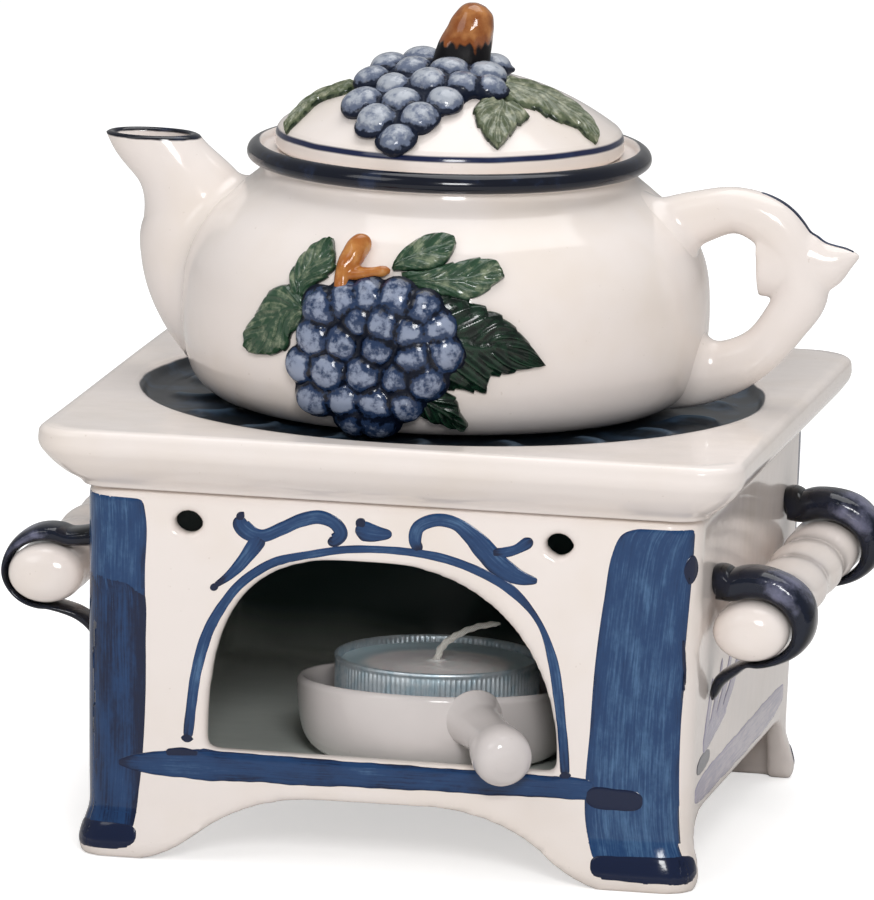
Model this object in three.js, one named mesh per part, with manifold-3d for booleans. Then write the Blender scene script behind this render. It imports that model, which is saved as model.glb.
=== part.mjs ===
// Ceramic teapot burner: a square stove on four feet, a lidded teapot that stands in the well of
// its top, and a loose dish with a tealight behind the arched opening.
// Millimetres. +Z is up, the arched front faces -Y, the spout points to -X and the handle to +X.
// The origin is on the floor under the middle of the stove.
import * as THREE from "three";
import { mergeVertices } from "three/addons/utils/BufferGeometryUtils.js";
import Module from "manifold-3d";

const wasm = await Module();
wasm.setup();

// Flat faces round a full-size turned piece
const ROUND_FACES = 32;

// Clearance between pieces that are luted together or rest on each other
const GAP = 0.3;

// Stove body: a thin-walled square box with an inner floor, standing on its corners
const STOVE_HALF = 57.2;
const STOVE_HEIGHT = 68.8;
const STOVE_WALL = 4.5;
const STOVE_CORNER = 6;
const STOVE_TAPER = 1.2;
const TOE_FLARE = 1.9;
const TOE_HEIGHT = 9;
const FOOT_WIDTH = 13.2;
const SIDE_FOOT_WIDTH = 6.6;
const FLOOR_TOP = 17;
const FLOOR_THICKNESS = 3.2;
const APRON_CLEARANCE = 0.9;
const APRON_X = -2.2;

// Arched mouth: a soft arch whose crown leans to the left
const SILL_HEIGHT = 21.1;
const ARCH_RISE = 36.8;
const ARCH_CROWN_X = -3.1;
const ARCH_LEFT = 30.4;
const ARCH_RIGHT = 34.9;
const ARCH_LEFT_POWER = 2.95;
const ARCH_RIGHT_POWER = 2.23;

// Two vents above the arch
const VENT_SPREAD = 34.4;
const VENT_DROP = 5.6;
const VENT_HALF_WIDTH = 2.8;
const VENT_HALF_HEIGHT = 2.25;

// Top slab, its sunken well with gadroons, and the flue that lets the heat up to the pot
const SLAB_HALF = 65.4;
const SLAB_CORNER = 8;
const SLAB_THICKNESS = 11.6;
const SLAB_LAND = 4.2;
const SLAB_EDGE_ROUND = 1.3;
const SLAB_PLATE = 3.6;
const WELL_RADIUS = 58.5;
const WELL_FLOOR_RADIUS = 54.5;
const WELL_DEPTH = 2.6;
const FLUE_RADIUS = 18;
const GADROONS = 18;
const GADROON_LENGTH = 13;
const GADROON_WIDTH = 5.6;
const GADROON_HEIGHT = 0.9;

// Side rails and the four scroll brackets that carry them
const RAIL_RADIUS = 6.15;
const RAIL_OVAL = 1.13;
const RAIL_HALF_LENGTH = 46;
const RAIL_OUT = { left: 10.5, right: 7.7 };
const RAIL_HEIGHT = { left: 49.2, right: 47 };
const RAIL_TILT = { left: 0, right: 0.7 };
const RAIL_BEAD = 0.7;
const RAIL_BEADS = 3;
const RAIL_BEAD_HALF = 3.2;
const SCROLL_PLACE = 38;
const SCROLL_WIDTH = 9;
const SCROLL_BAND = { left: 3.2, right: 5.8 };
const SCROLL_UNDER = 1.3;
const SCROLL_THINS = { left: [0, 100], right: [-80, 60] };
const SCROLL_TAIL_DROP = 14;

// Teapot: heights are above the well floor, radii from the pot's own axis
const POT_AXIS_X = -1.75;
const POT_RADIUS = 49;
const POT_FOOT_RADIUS = 36;
const POT_FOOT_WIDTH = 6;
const POT_FOOT_RECESS = 1.2;
const POT_FOOT_EDGE = 0.3;
const POT_NECK_RADIUS = 34.4;
const POT_NECK_HEIGHT = 44.15;
const POT_WALL = 3.2;
const RIM_RADIUS = 37.5;
const RIM_HEIGHT = 4.1;
const RIM_LEDGE_WIDTH = 3;
const MOUTH_RADIUS = 30.5;
const LEDGE_DROP = 1.6;

// Lid
const LID_RADIUS = 32.3;
const LID_EDGE_HEIGHT = 3.5;
const LID_RISE = 11.1;
const LID_WALL = 3;
const LID_FLANGE_DEPTH = 5.5;
const LID_FLANGE_WALL = 2.4;
const LID_FLANGE_CLEARANCE = 0.8;

// Relief of grapes, leaves and twigs, sprigged on to the pot and the lid
const BERRY_RADIUS = 3.7;
const BERRY_SEAT = 0.25;
const LEAF_THICKNESS = 1.3;
const LEAF_RIB = 0.5;
const LEAF_TIP = 0.35;
const TWIG_RADIUS = 1.9;

// Burner dish with a short pan handle, and the tealight in it
const DISH_X = 3.4;
const DISH_Y = -25.5;
const DISH_RADIUS = 26;
const DISH_FOOT_RADIUS = 19.5;
const DISH_HEIGHT = 13.5;
const DISH_WALL = 2.4;
const DISH_BASE = 1.8;
const DISH_RIM_SLOPE = 0.062;
const PAN_HANDLE_REACH = 43.8;
const PAN_HANDLE_TURN = 27.3;
const PAN_HANDLE_RADIUS = 5.2;
const PAN_HANDLE_WAIST = 4.1;
const PAN_HANDLE_DROP = 5.6;
const CANDLE_RADIUS = 19;
const CANDLE_HEIGHT = 16;
const CANDLE_FOIL = 0.5;
const WAX_DROP = 1.6;
const SUSTAINER_RADIUS = 6;
const SUSTAINER_THICKNESS = 0.5;
const WICK_RADIUS = 0.8;

// Places worked out from the sizes above
const SLAB_BASE = STOVE_HEIGHT + GAP;
const SLAB_TOP = SLAB_BASE + SLAB_THICKNESS;
const WELL_FLOOR = SLAB_TOP - WELL_DEPTH;
const VENT_HEIGHT = STOVE_HEIGHT - VENT_DROP;
const POT_BASE = WELL_FLOOR + GAP;
const NECK_TOP = POT_BASE + POT_NECK_HEIGHT;
const RIM_TOP = NECK_TOP + RIM_HEIGHT;
const LEDGE_TOP = RIM_TOP - LEDGE_DROP;
const LID_BASE = LEDGE_TOP + GAP;
const LID_SHOULDER = LID_BASE + LID_EDGE_HEIGHT;
const DISH_FLOOR = FLOOR_TOP + GAP;
const CANDLE_BASE = DISH_FLOOR + DISH_BASE + GAP;

// Looks of the pieces
const glaze = (color, roughness = 0.18) => new THREE.MeshStandardMaterial({ color, roughness, metalness: 0 });
const CREAM = glaze("#ece5de");
const NAVY = glaze("#1e2c46");
const GRAPE = glaze("#4f618c");
const LEAF = glaze("#345443");
const TWIG = glaze("#b9793d", 0.3);
const WHITE = glaze("#e4e4e6");
const FOIL = new THREE.MeshStandardMaterial({ color: "#b9c0c8", roughness: 0.35, metalness: 1 });
const WAX = new THREE.MeshStandardMaterial({ color: "#e9e2e6", roughness: 0.5, metalness: 0 });
const COTTON = new THREE.MeshStandardMaterial({ color: "#f3f1ec", roughness: 0.9, metalness: 0 });

// A closed triangle mesh as a solid, and back
function solid(geometry) {
  const bare = new THREE.BufferGeometry();
  bare.setAttribute("position", geometry.getAttribute("position"));
  bare.setIndex(geometry.getIndex());
  const merged = mergeVertices(bare, 1e-4);
  return new wasm.Manifold(
    new wasm.Mesh({
      numProp: 3,
      vertProperties: new Float32Array(merged.getAttribute("position").array),
      triVerts: new Uint32Array(merged.getIndex().array),
    }),
  );
}

function geometryOf(body) {
  const mesh = body.getMesh();
  const geometry = new THREE.BufferGeometry();
  geometry.setAttribute("position", new THREE.BufferAttribute(mesh.vertProperties, 3));
  geometry.setIndex(new THREE.BufferAttribute(mesh.triVerts, 1));
  geometry.computeVertexNormals();
  return geometry;
}

const joined = (solids) => solids.reduce((sum, each) => sum.add(each));

// The biggest single body that a cut leaves
function mainBody(body) {
  return body.decompose().reduce((best, each) => (each.volume() > best.volume() ? each : best));
}

// A closed skin over rings of equally many points, with a fan at each end
function loft(rings) {
  const count = rings[0].length;
  const points = rings.flat();
  const faces = [];
  for (let r = 0; r + 1 < rings.length; r++)
    for (let i = 0; i < count; i++) {
      const a = r * count + i;
      const b = r * count + ((i + 1) % count);
      faces.push(a, b, b + count, a, b + count, a + count);
    }
  const last = (rings.length - 1) * count;
  for (const [start, flip] of [[0, true], [last, false]]) {
    const ring = points.slice(start, start + count);
    const middle = ring.reduce((sum, p) => sum.clone().add(p)).divideScalar(count);
    points.push(middle);
    for (let i = 0; i < count; i++) {
      const a = start + i;
      const b = start + ((i + 1) % count);
      faces.push(...(flip ? [points.length - 1, b, a] : [points.length - 1, a, b]));
    }
  }
  const geometry = new THREE.BufferGeometry();
  geometry.setAttribute("position", new THREE.Float32BufferAttribute(points.flatMap((p) => p.toArray()), 3));
  geometry.setIndex(faces);
  return geometry;
}

// A square outline with round corners at one height, anticlockwise from above
function roundedSquare(half, corner, z, steps = 5) {
  const ring = [];
  for (let quarter = 0; quarter < 4; quarter++)
    for (let i = 0; i <= steps; i++) {
      const angle = (quarter + i / steps) * (Math.PI / 2);
      const cx = [1, -1, -1, 1][quarter] * (half - corner);
      const cy = [1, 1, -1, -1][quarter] * (half - corner);
      ring.push(new THREE.Vector3(cx + corner * Math.cos(angle), cy + corner * Math.sin(angle), z));
    }
  return ring;
}

const squareLoft = (levels) => loft(levels.map(([half, corner, z]) => roundedSquare(half, corner, z)));

// A body turned about the Z axis from [radius, height] pairs that start and end on the axis
function turned(profile, segments = ROUND_FACES, x = 0, y = 0) {
  const points = profile.map(([radius, height]) => new THREE.Vector2(Math.max(radius, 0), height));
  return new THREE.LatheGeometry(points, segments).rotateX(Math.PI / 2).translate(x, y, 0);
}

// A smooth run of [a, b] pairs through a few given ones
function smooth(pairs, steps) {
  const curve = new THREE.SplineCurve(pairs.map(([a, b]) => new THREE.Vector2(a, b)));
  return curve.getPoints(steps).map((p) => [p.x, p.y]);
}

// An outline in the XZ plane pushed through from y0 to y1
function through(outline, y0, y1) {
  const shape = new THREE.Shape(outline.map(([x, z]) => new THREE.Vector2(x, z)));
  const depth = y1 - y0;
  return new THREE.ExtrudeGeometry(shape, { depth, bevelEnabled: false, curveSegments: 12 })
    .rotateX(Math.PI / 2)
    .translate(0, y1, 0);
}

// A body with elliptic sections along a smooth line in the XZ plane.
// Each station is [x, z, half thickness in the plane, half width along Y].
function limb(stations, { steps = 18, sides = 16, startTangent = null, endTangent = null } = {}) {
  const line = new THREE.CatmullRomCurve3(
    stations.map(([x, z]) => new THREE.Vector3(x, 0, z)), false, "centripetal");
  const sizes = new THREE.CatmullRomCurve3(
    stations.map(([, , thick, wide]) => new THREE.Vector3(thick, wide, 0)), false, "catmullrom", 0.5);
  const rings = [];
  for (let s = 0; s <= steps; s++) {
    const centre = line.getPoint(s / steps);
    const size = sizes.getPoint(s / steps);
    let along = line.getTangent(s / steps);
    if (s === 0 && startTangent) along = startTangent;
    if (s === steps && endTangent) along = endTangent;
    const across = new THREE.Vector3(along.z, 0, -along.x);
    const ring = [];
    for (let i = 0; i < sides; i++) {
      const angle = (2 * Math.PI * i) / sides;
      ring.push(
        centre.clone()
          .addScaledVector(across, size.x * Math.cos(angle))
          .add(new THREE.Vector3(0, size.y * Math.sin(angle), 0)));
    }
    rings.push(ring);
  }
  return loft(rings);
}

// A round twig along a smooth line in space
function twig(points, radius, sides = 10, steps = 10) {
  const section = new THREE.Shape();
  for (let i = 0; i < sides; i++) {
    const angle = (2 * Math.PI * i) / sides;
    const x = radius * Math.cos(angle);
    const y = radius * Math.sin(angle);
    if (i === 0) section.moveTo(x, y);
    else section.lineTo(x, y);
  }
  const extrudePath = new THREE.CatmullRomCurve3(points.map((p) => new THREE.Vector3(...p)));
  return new THREE.ExtrudeGeometry(section, { steps, bevelEnabled: false, extrudePath });
}

const group = new THREE.Group();

function place(name, geometry, material, parent = group) {
  const mesh = new THREE.Mesh(geometry, material);
  mesh.name = name;
  parent.add(mesh);
  return mesh;
}

// Stove body

// Half the stove's width outside: the walls draw in a little from the top down
const wallHalf = (z) => STOVE_HALF - STOVE_TAPER * (1 - z / STOVE_HEIGHT);

// The lower edge of the front and back, two soft feet joined by a shallow double curve, and of the
// sides, whose feet are narrow and rise at once: [inset, share of the rise]
const APRON_CURVE = [[-1, -0.1], [2, 0], [6, 0.12], [9.5, 0.29], [14, 0.55], [19, 0.76], [25, 0.92], [32, 1]];
const SIDE_APRON_CURVE = [[-1, -0.1], [0.8, 0.06], [2, 0.4], [4, 0.74], [7, 0.92], [13, 1]];

function apronOutline(middle, footWidth, curve) {
  const rise = FLOOR_TOP - FLOOR_THICKNESS - APRON_CLEARANCE;
  const inner = STOVE_HALF - footWidth;
  const side = smooth(curve.map(([inset, share]) => [inner - inset, share * rise]), 12);
  const right = side.map(([x, z]) => [middle + x, z]);
  return [...right, ...side.map(([x, z]) => [middle - x, z]).reverse()];
}

function archOutline() {
  const outline = [];
  const steps = 36;
  for (let i = 0; i <= steps; i++) {
    const angle = (Math.PI * i) / steps;
    const reach = Math.cos(angle);
    const half = reach > 0 ? ARCH_RIGHT : ARCH_LEFT;
    const power = 2 / (reach > 0 ? ARCH_RIGHT_POWER : ARCH_LEFT_POWER);
    const x = ARCH_CROWN_X + Math.sign(reach) * half * Math.abs(reach) ** power;
    outline.push([x, SILL_HEIGHT + ARCH_RISE * Math.sin(angle) ** power]);
  }
  return outline;
}

function ventOutline(x) {
  const outline = [];
  for (let i = 0; i < 20; i++) {
    const angle = (2 * Math.PI * i) / 20;
    outline.push([x + VENT_HALF_WIDTH * Math.cos(angle), VENT_HEIGHT + VENT_HALF_HEIGHT * Math.sin(angle)]);
  }
  return outline;
}

function stoveBody() {
  const shell = solid(squareLoft([
    [wallHalf(0) + 0.8 * TOE_FLARE, STOVE_CORNER, 0],
    [wallHalf(0) + TOE_FLARE, STOVE_CORNER, 0.3 * TOE_HEIGHT],
    [wallHalf(0) + 0.5 * TOE_FLARE, STOVE_CORNER, 0.7 * TOE_HEIGHT],
    [wallHalf(TOE_HEIGHT), STOVE_CORNER, TOE_HEIGHT],
    [STOVE_HALF, STOVE_CORNER, STOVE_HEIGHT],
  ]));
  const inner = STOVE_HALF - STOVE_WALL;
  const corner = Math.max(STOVE_CORNER - STOVE_WALL, 1);
  const firebox = solid(squareLoft([[inner, corner, FLOOR_TOP], [inner, corner, STOVE_HEIGHT + 1]]));
  const underside = solid(squareLoft([[inner, corner, -1], [inner, corner, FLOOR_TOP - FLOOR_THICKNESS]]));
  const reach = STOVE_HALF + TOE_FLARE + 1;
  const cuts = [
    firebox,
    underside,
    solid(through(apronOutline(APRON_X, FOOT_WIDTH, APRON_CURVE), -reach, reach)),
    solid(through(apronOutline(0, SIDE_FOOT_WIDTH, SIDE_APRON_CURVE), -reach, reach).rotateZ(Math.PI / 2)),
    solid(through(archOutline(), -reach, -inner + 1)),
    ...[-1, 1].map((side) =>
      solid(through(ventOutline(ARCH_CROWN_X + side * VENT_SPREAD), -reach, -inner + 1))),
  ];
  return geometryOf(cuts.reduce((body, cut) => body.subtract(cut), shell));
}

// Top slab

// A square slab with a rounded upper edge and a cove that runs in to the walls below
function slabBlank() {
  const cove = SLAB_THICKNESS - SLAB_LAND;
  const overhang = SLAB_HALF - STOVE_HALF - 0.8;
  const levels = [];
  for (let i = 0; i <= 4; i++) {
    const angle = (i / 4) * (Math.PI / 2);
    const inset = overhang * Math.cos(angle);
    levels.push([SLAB_HALF - inset, SLAB_CORNER - 0.6 * inset, SLAB_BASE + cove * Math.sin(angle)]);
  }
  levels.push([SLAB_HALF, SLAB_CORNER, SLAB_TOP - SLAB_EDGE_ROUND]);
  levels.push([SLAB_HALF - 0.3 * SLAB_EDGE_ROUND, SLAB_CORNER, SLAB_TOP - 0.3 * SLAB_EDGE_ROUND]);
  levels.push([SLAB_HALF - SLAB_EDGE_ROUND, SLAB_CORNER, SLAB_TOP]);
  return solid(squareLoft(levels));
}

function gadroon(index) {
  const angle = (2 * Math.PI * (index + 0.5)) / GADROONS;
  const middle = WELL_FLOOR_RADIUS - 0.5 * GADROON_LENGTH;
  return solid(
    new THREE.SphereGeometry(1, 8, 4)
      .scale(0.5 * GADROON_LENGTH, 0.5 * GADROON_WIDTH, GADROON_HEIGHT)
      .translate(middle, 0, WELL_FLOOR)
      .rotateZ(angle));
}

function stoveTop() {
  const well = solid(turned([
    [0, WELL_FLOOR],
    [WELL_FLOOR_RADIUS, WELL_FLOOR],
    [0.5 * (WELL_FLOOR_RADIUS + WELL_RADIUS) + 0.4, WELL_FLOOR + 0.35 * WELL_DEPTH],
    [WELL_RADIUS, SLAB_TOP],
    [WELL_RADIUS, SLAB_TOP + 1],
    [0, SLAB_TOP + 1],
  ], 2 * GADROONS));
  const flue = solid(turned([
    [0, SLAB_BASE - 1], [FLUE_RADIUS, SLAB_BASE - 1], [FLUE_RADIUS, SLAB_TOP], [0, SLAB_TOP],
  ], 28));
  const half = STOVE_HALF - STOVE_WALL;
  const ceiling = WELL_FLOOR - SLAB_PLATE;
  const hollow = solid(squareLoft([
    [half, 2, SLAB_BASE - 1], [half, 2, SLAB_BASE + 1], [half - 3, 2, ceiling],
  ]));
  const gadroons = Array.from({ length: GADROONS }, (_, i) => gadroon(i));
  return geometryOf(slabBlank().subtract(well).add(joined(gadroons)).subtract(flue).subtract(hollow));
}

// Rails and scroll brackets

// A turned rail: domed ends, and soft beads round the stretch between the brackets
function railProfile() {
  const profile = [];
  const dome = 0.55 * RAIL_RADIUS;
  for (let i = 0; i <= 4; i++) {
    const angle = (i / 4) * (Math.PI / 2);
    profile.push([RAIL_RADIUS * Math.sin(angle), -RAIL_HALF_LENGTH + dome * (1 - Math.cos(angle))]);
  }
  const span = SCROLL_PLACE - 0.5 * SCROLL_WIDTH;
  const pitch = (2 * span) / (RAIL_BEADS + 1);
  for (let bead = 1; bead <= RAIL_BEADS; bead++)
    for (let i = -1; i <= 1; i++) {
      const lift = i === 0 ? RAIL_BEAD : 0;
      profile.push([RAIL_RADIUS - RAIL_BEAD + lift, -span + bead * pitch + i * RAIL_BEAD_HALF]);
    }
  const end = profile.slice(0, 5).map(([radius, along]) => [radius, -along]).reverse();
  return [...profile, ...end];
}

// The bracket's band leaves the wall above the rail, wraps round it, thins out below it and runs
// back down to the wall. Places are from the rail's own centre.
function scrollStations(sideName) {
  const out = RAIL_OUT[sideName];
  const thick = SCROLL_BAND[sideName];
  const [low, high] = SCROLL_THINS[sideName];
  const beside = RAIL_RADIUS * RAIL_OVAL + GAP;
  const above = RAIL_RADIUS / RAIL_OVAL + GAP;
  const wide = 0.5 * SCROLL_WIDTH;
  const stations = [[-out - 2.5, above + 0.4 * thick, 0.6 * thick, 0.85 * wide]];
  for (let degrees = 115; degrees >= -95; degrees -= 30) {
    const band = THREE.MathUtils.lerp(SCROLL_UNDER, thick, THREE.MathUtils.smoothstep(degrees, low, high));
    const angle = THREE.MathUtils.degToRad(degrees);
    stations.push([
      (beside + 0.5 * band) * Math.cos(angle), (above + 0.5 * band) * Math.sin(angle), 0.5 * band, wide]);
  }
  stations.push([-out + 1.9, -0.5 * (above + SCROLL_TAIL_DROP), 0.8 * SCROLL_UNDER, 0.8 * wide]);
  stations.push([-out - 2.5, -SCROLL_TAIL_DROP - 1, SCROLL_UNDER, 0.7 * wide]);
  return stations;
}

// A bracket is cut along the leaning wall that it is luted to
function scrollBracket(side, sideName, end) {
  const band = solid(limb(scrollStations(sideName), { steps: 18, sides: 8 }));
  const deep = 4 * RAIL_RADIUS;
  const wall = solid(new THREE.BoxGeometry(deep, deep, 2 * deep)
    .translate(-0.5 * deep, 0, 0)
    .rotateY(Math.atan(STOVE_TAPER / STOVE_HEIGHT))
    .translate(GAP - RAIL_OUT[sideName], 0, 0));
  const geometry = geometryOf(band.subtract(wall));
  if (side < 0) geometry.rotateZ(Math.PI);
  return geometry.translate(0, end * SCROLL_PLACE, 0);
}

// A rail with its two brackets, hung beside the wall and leaning a little as the luting left it
function addHandrail(side, sideName) {
  const height = RAIL_HEIGHT[sideName];
  const handrail = new THREE.Group();
  handrail.position.set(side * (wallHalf(height) + RAIL_OUT[sideName]), 0, height);
  handrail.rotation.x = THREE.MathUtils.degToRad(RAIL_TILT[sideName]);
  const rail = turned(railProfile(), 18).rotateX(Math.PI / 2).scale(RAIL_OVAL, 1, 1 / RAIL_OVAL);
  place(`rail_${sideName}`, rail, CREAM, handrail);
  for (const [end, endName] of [[-1, "front"], [1, "back"]])
    place(`scroll_${sideName}_${endName}`, scrollBracket(side, sideName, end), NAVY, handrail);
  group.add(handrail);
}

// Teapot

// Outer line of the pot from its foot to the neck, as [share of the belly radius, height above the base]
function potSide() {
  const tall = POT_NECK_HEIGHT;
  const r = POT_RADIUS;
  return smooth([
    [POT_FOOT_RADIUS, POT_FOOT_EDGE],
    [0.86 * r, 0.026 * tall],
    [0.945 * r, 0.1 * tall],
    [0.988 * r, 0.24 * tall],
    [r, 0.44 * tall],
    [0.978 * r, 0.62 * tall],
    [0.9 * r, 0.78 * tall],
    [0.785 * r, 0.895 * tall],
    [POT_NECK_RADIUS + 0.6, 0.965 * tall],
    [POT_NECK_RADIUS, tall],
  ], 13);
}

const POT_SIDE = potSide();

function potRadiusAt(z) {
  const height = z - POT_BASE;
  const index = POT_SIDE.findIndex(([, h]) => h > height);
  if (index < 1) return POT_SIDE[index < 0 ? POT_SIDE.length - 1 : 0][0];
  const [r0, h0] = POT_SIDE[index - 1];
  const [r1, h1] = POT_SIDE[index];
  return r0 + ((r1 - r0) * (height - h0)) / (h1 - h0);
}

// The pot's outer form, grown by a margin, to cut what is luted on to it
function potForm(margin) {
  const side = POT_SIDE.map(([radius, height]) => [radius + margin, POT_BASE + height]);
  const low = POT_BASE - margin;
  return solid(turned([[0, low], [POT_FOOT_RADIUS, low], ...side, [RIM_RADIUS + margin, NECK_TOP + 0.6],
    [RIM_RADIUS + margin, RIM_TOP + margin], [0, RIM_TOP + margin]], ROUND_FACES, POT_AXIS_X));
}

function potBody() {
  const footInner = POT_FOOT_RADIUS - POT_FOOT_WIDTH;
  const inside = POT_SIDE.filter((_, i) => i % 2 === 0 && i > 2 && i < POT_SIDE.length - 3)
    .map(([radius, height]) => [radius - POT_WALL, POT_BASE + Math.max(height, POT_WALL + 1.2)])
    .reverse();
  const ledge = RIM_RADIUS - RIM_LEDGE_WIDTH;
  return solid(turned([
    [0, POT_BASE + POT_FOOT_RECESS],
    [footInner, POT_BASE + POT_FOOT_RECESS],
    [footInner + 1, POT_BASE],
    ...POT_SIDE.map(([radius, height]) => [radius, POT_BASE + (height === POT_FOOT_EDGE ? 0 : height)]),
    [RIM_RADIUS - 1.2, NECK_TOP + 0.5],
    [RIM_RADIUS, NECK_TOP + 0.3 * RIM_HEIGHT],
    [RIM_RADIUS, NECK_TOP + 0.65 * RIM_HEIGHT],
    [RIM_RADIUS - 1.2, RIM_TOP - 0.3],
    [RIM_RADIUS - 2.4, RIM_TOP],
    [ledge + 0.6, RIM_TOP - 0.5],
    [ledge, LEDGE_TOP],
    [MOUTH_RADIUS, LEDGE_TOP],
    [MOUTH_RADIUS, NECK_TOP - 1],
    ...inside,
    [POT_FOOT_RADIUS - POT_WALL, POT_BASE + POT_WALL + 0.4],
    [0, POT_BASE + POT_WALL],
  ], ROUND_FACES, POT_AXIS_X));
}

// Spout: from low on the belly up to a level mouth, as [x from the axis, height, half depth, half width]
const SPOUT = [
  [-33, 7.4, 10, 9.5],
  [-39.5, 13.8, 12.2, 12],
  [-43.4, 21.2, 13.2, 11.6],
  [-46.2, 28.6, 12.4, 10],
  [-48.5, 35.4, 10, 8],
  [-52.3, 41.6, 7.3, 6.5],
  [-57.1, 47.3, 7.4, 6],
  [-58.6, 49.8, 7.8, 6],
];
const SPOUT_WALL = 2.5;
const POUR_HOLE_RADIUS = 6.5;
const POUR_HOLE_HEIGHT = 21;
const UP = new THREE.Vector3(0, 0, 1);

function spoutLimb(inset) {
  const stations = SPOUT.map(([x, height, deep, wide]) => [
    POT_AXIS_X + x, POT_BASE + height, deep - inset, wide - inset]);
  return solid(limb(stations, { endTangent: UP, steps: 14, sides: 16 }));
}

// The spout is hollow, cut to the belly and cut off level at its mouth
function potSpout() {
  const [x, height, deep] = SPOUT[SPOUT.length - 2];
  const above = solid(new THREE.BoxGeometry(8 * deep, 8 * deep, 2 * deep)
    .translate(x, 0, POT_BASE + height + deep));
  const tube = spoutLimb(0).subtract(spoutLimb(SPOUT_WALL)).subtract(above);
  return mainBody(tube.subtract(potForm(GAP)));
}

// The hole in the belly's wall behind the spout
function pourHole() {
  return solid(
    new THREE.CylinderGeometry(POUR_HOLE_RADIUS, POUR_HOLE_RADIUS, POT_RADIUS, 16)
      .rotateZ(Math.PI / 2)
      .translate(POT_AXIS_X - POT_RADIUS, 0, POT_BASE + POUR_HOLE_HEIGHT));
}

// Handle: an ear-shaped loop with a pointed thumb spur, as [x from the axis, height, half depth, half width]
const HANDLE = [
  [38, 33, 6.4, 4.8],
  [46.8, 36.9, 5, 4.1],
  [54.5, 38.7, 4.3, 3.8],
  [61.3, 36.1, 4.8, 3.9],
  [65.8, 30, 4.6, 3.9],
  [66.9, 24, 4.9, 4],
  [63.8, 18.2, 4.4, 3.9],
  [59.6, 13, 4.3, 3.8],
  [53.6, 9.3, 5.1, 4.1],
  [46.5, 7.6, 6.1, 4.6],
  [39.5, 7.4, 6.4, 4.8],
];
const SPUR = [
  [64.2, 29.5, 7, 3.7],
  [70.7, 29.4, 5.2, 3.3],
  [75, 30.8, 2.3, 2],
  [77.5, 31.5, 0.5, 0.8],
];

function potHandle() {
  const stations = (list) => list.map(([x, height, deep, wide]) => [
    POT_AXIS_X + x, POT_BASE + height, deep, wide]);
  const loop = solid(limb(stations(HANDLE), { steps: 22, sides: 12 }));
  const spur = solid(limb(stations(SPUR), { steps: 5, sides: 10 }));
  return mainBody(loop.add(spur).subtract(potForm(GAP)));
}

// Relief

// A point on the pot: s runs round it from the front towards +X, z up; lift is off the surface
function onPot(s, z, lift) {
  const radius = potRadiusAt(z);
  const slope = (potRadiusAt(z + 0.5) - potRadiusAt(z - 0.5)) / 1;
  const angle = s / POT_RADIUS;
  const tilt = Math.hypot(1, slope);
  const out = radius + lift / tilt;
  return new THREE.Vector3(
    POT_AXIS_X + out * Math.sin(angle), -out * Math.cos(angle), z - (lift * slope) / tilt);
}

const lidHeightAt = (radius) =>
  LID_SHOULDER + 0.4 + LID_RISE * (1 - Math.min(radius / LID_RADIUS, 1) ** 2.2);

// A point on the lid's dome above the plan point x, y from the lid's axis
function onLid(x, y, lift) {
  const radius = Math.max(Math.hypot(x, y), 0.01);
  const slope = (lidHeightAt(radius + 0.3) - lidHeightAt(Math.max(radius - 0.3, 0))) / 0.6;
  const tilt = Math.hypot(1, slope);
  const out = (-slope * lift) / tilt / radius;
  return new THREE.Vector3(
    POT_AXIS_X + x * (1 + out), y * (1 + out), lidHeightAt(radius) + lift / tilt);
}

// One berry: a dome whose flat base lies on the surface, facing along its normal
function berry(radius, surface, across, along, margin) {
  const lift = GAP + BERRY_SEAT - margin;
  const foot = surface(across, along, lift);
  const normal = surface(across, along, lift + 1).sub(foot).normalize();
  const turn = new THREE.Quaternion().setFromUnitVectors(new THREE.Vector3(0, 0, 1), normal);
  const height = 1.1 * radius + margin;
  const dome = [
    [0, 0], [0.88 * radius, 0], [radius, 0.42 * height], [0.66 * radius, 0.86 * height], [0, height],
  ];
  return solid(turned(dome, 6).applyQuaternion(turn).translate(...foot.toArray()));
}

// A bunch of berries on one clay pad, grown by a margin
function bunch(places, pad, surface, margin) {
  const low = GAP - 2 * margin;
  const high = GAP + LEAF_THICKNESS + margin;
  const each = [leaf({ ...pad, surface, low, high, grow: margin })];
  places.forEach(([across, along], i) => {
    const radius = BERRY_RADIUS * (1 - 0.05 * (i % 3)) + margin;
    each.push(berry(radius, surface, across, along, margin));
  });
  return joined(each);
}

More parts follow.
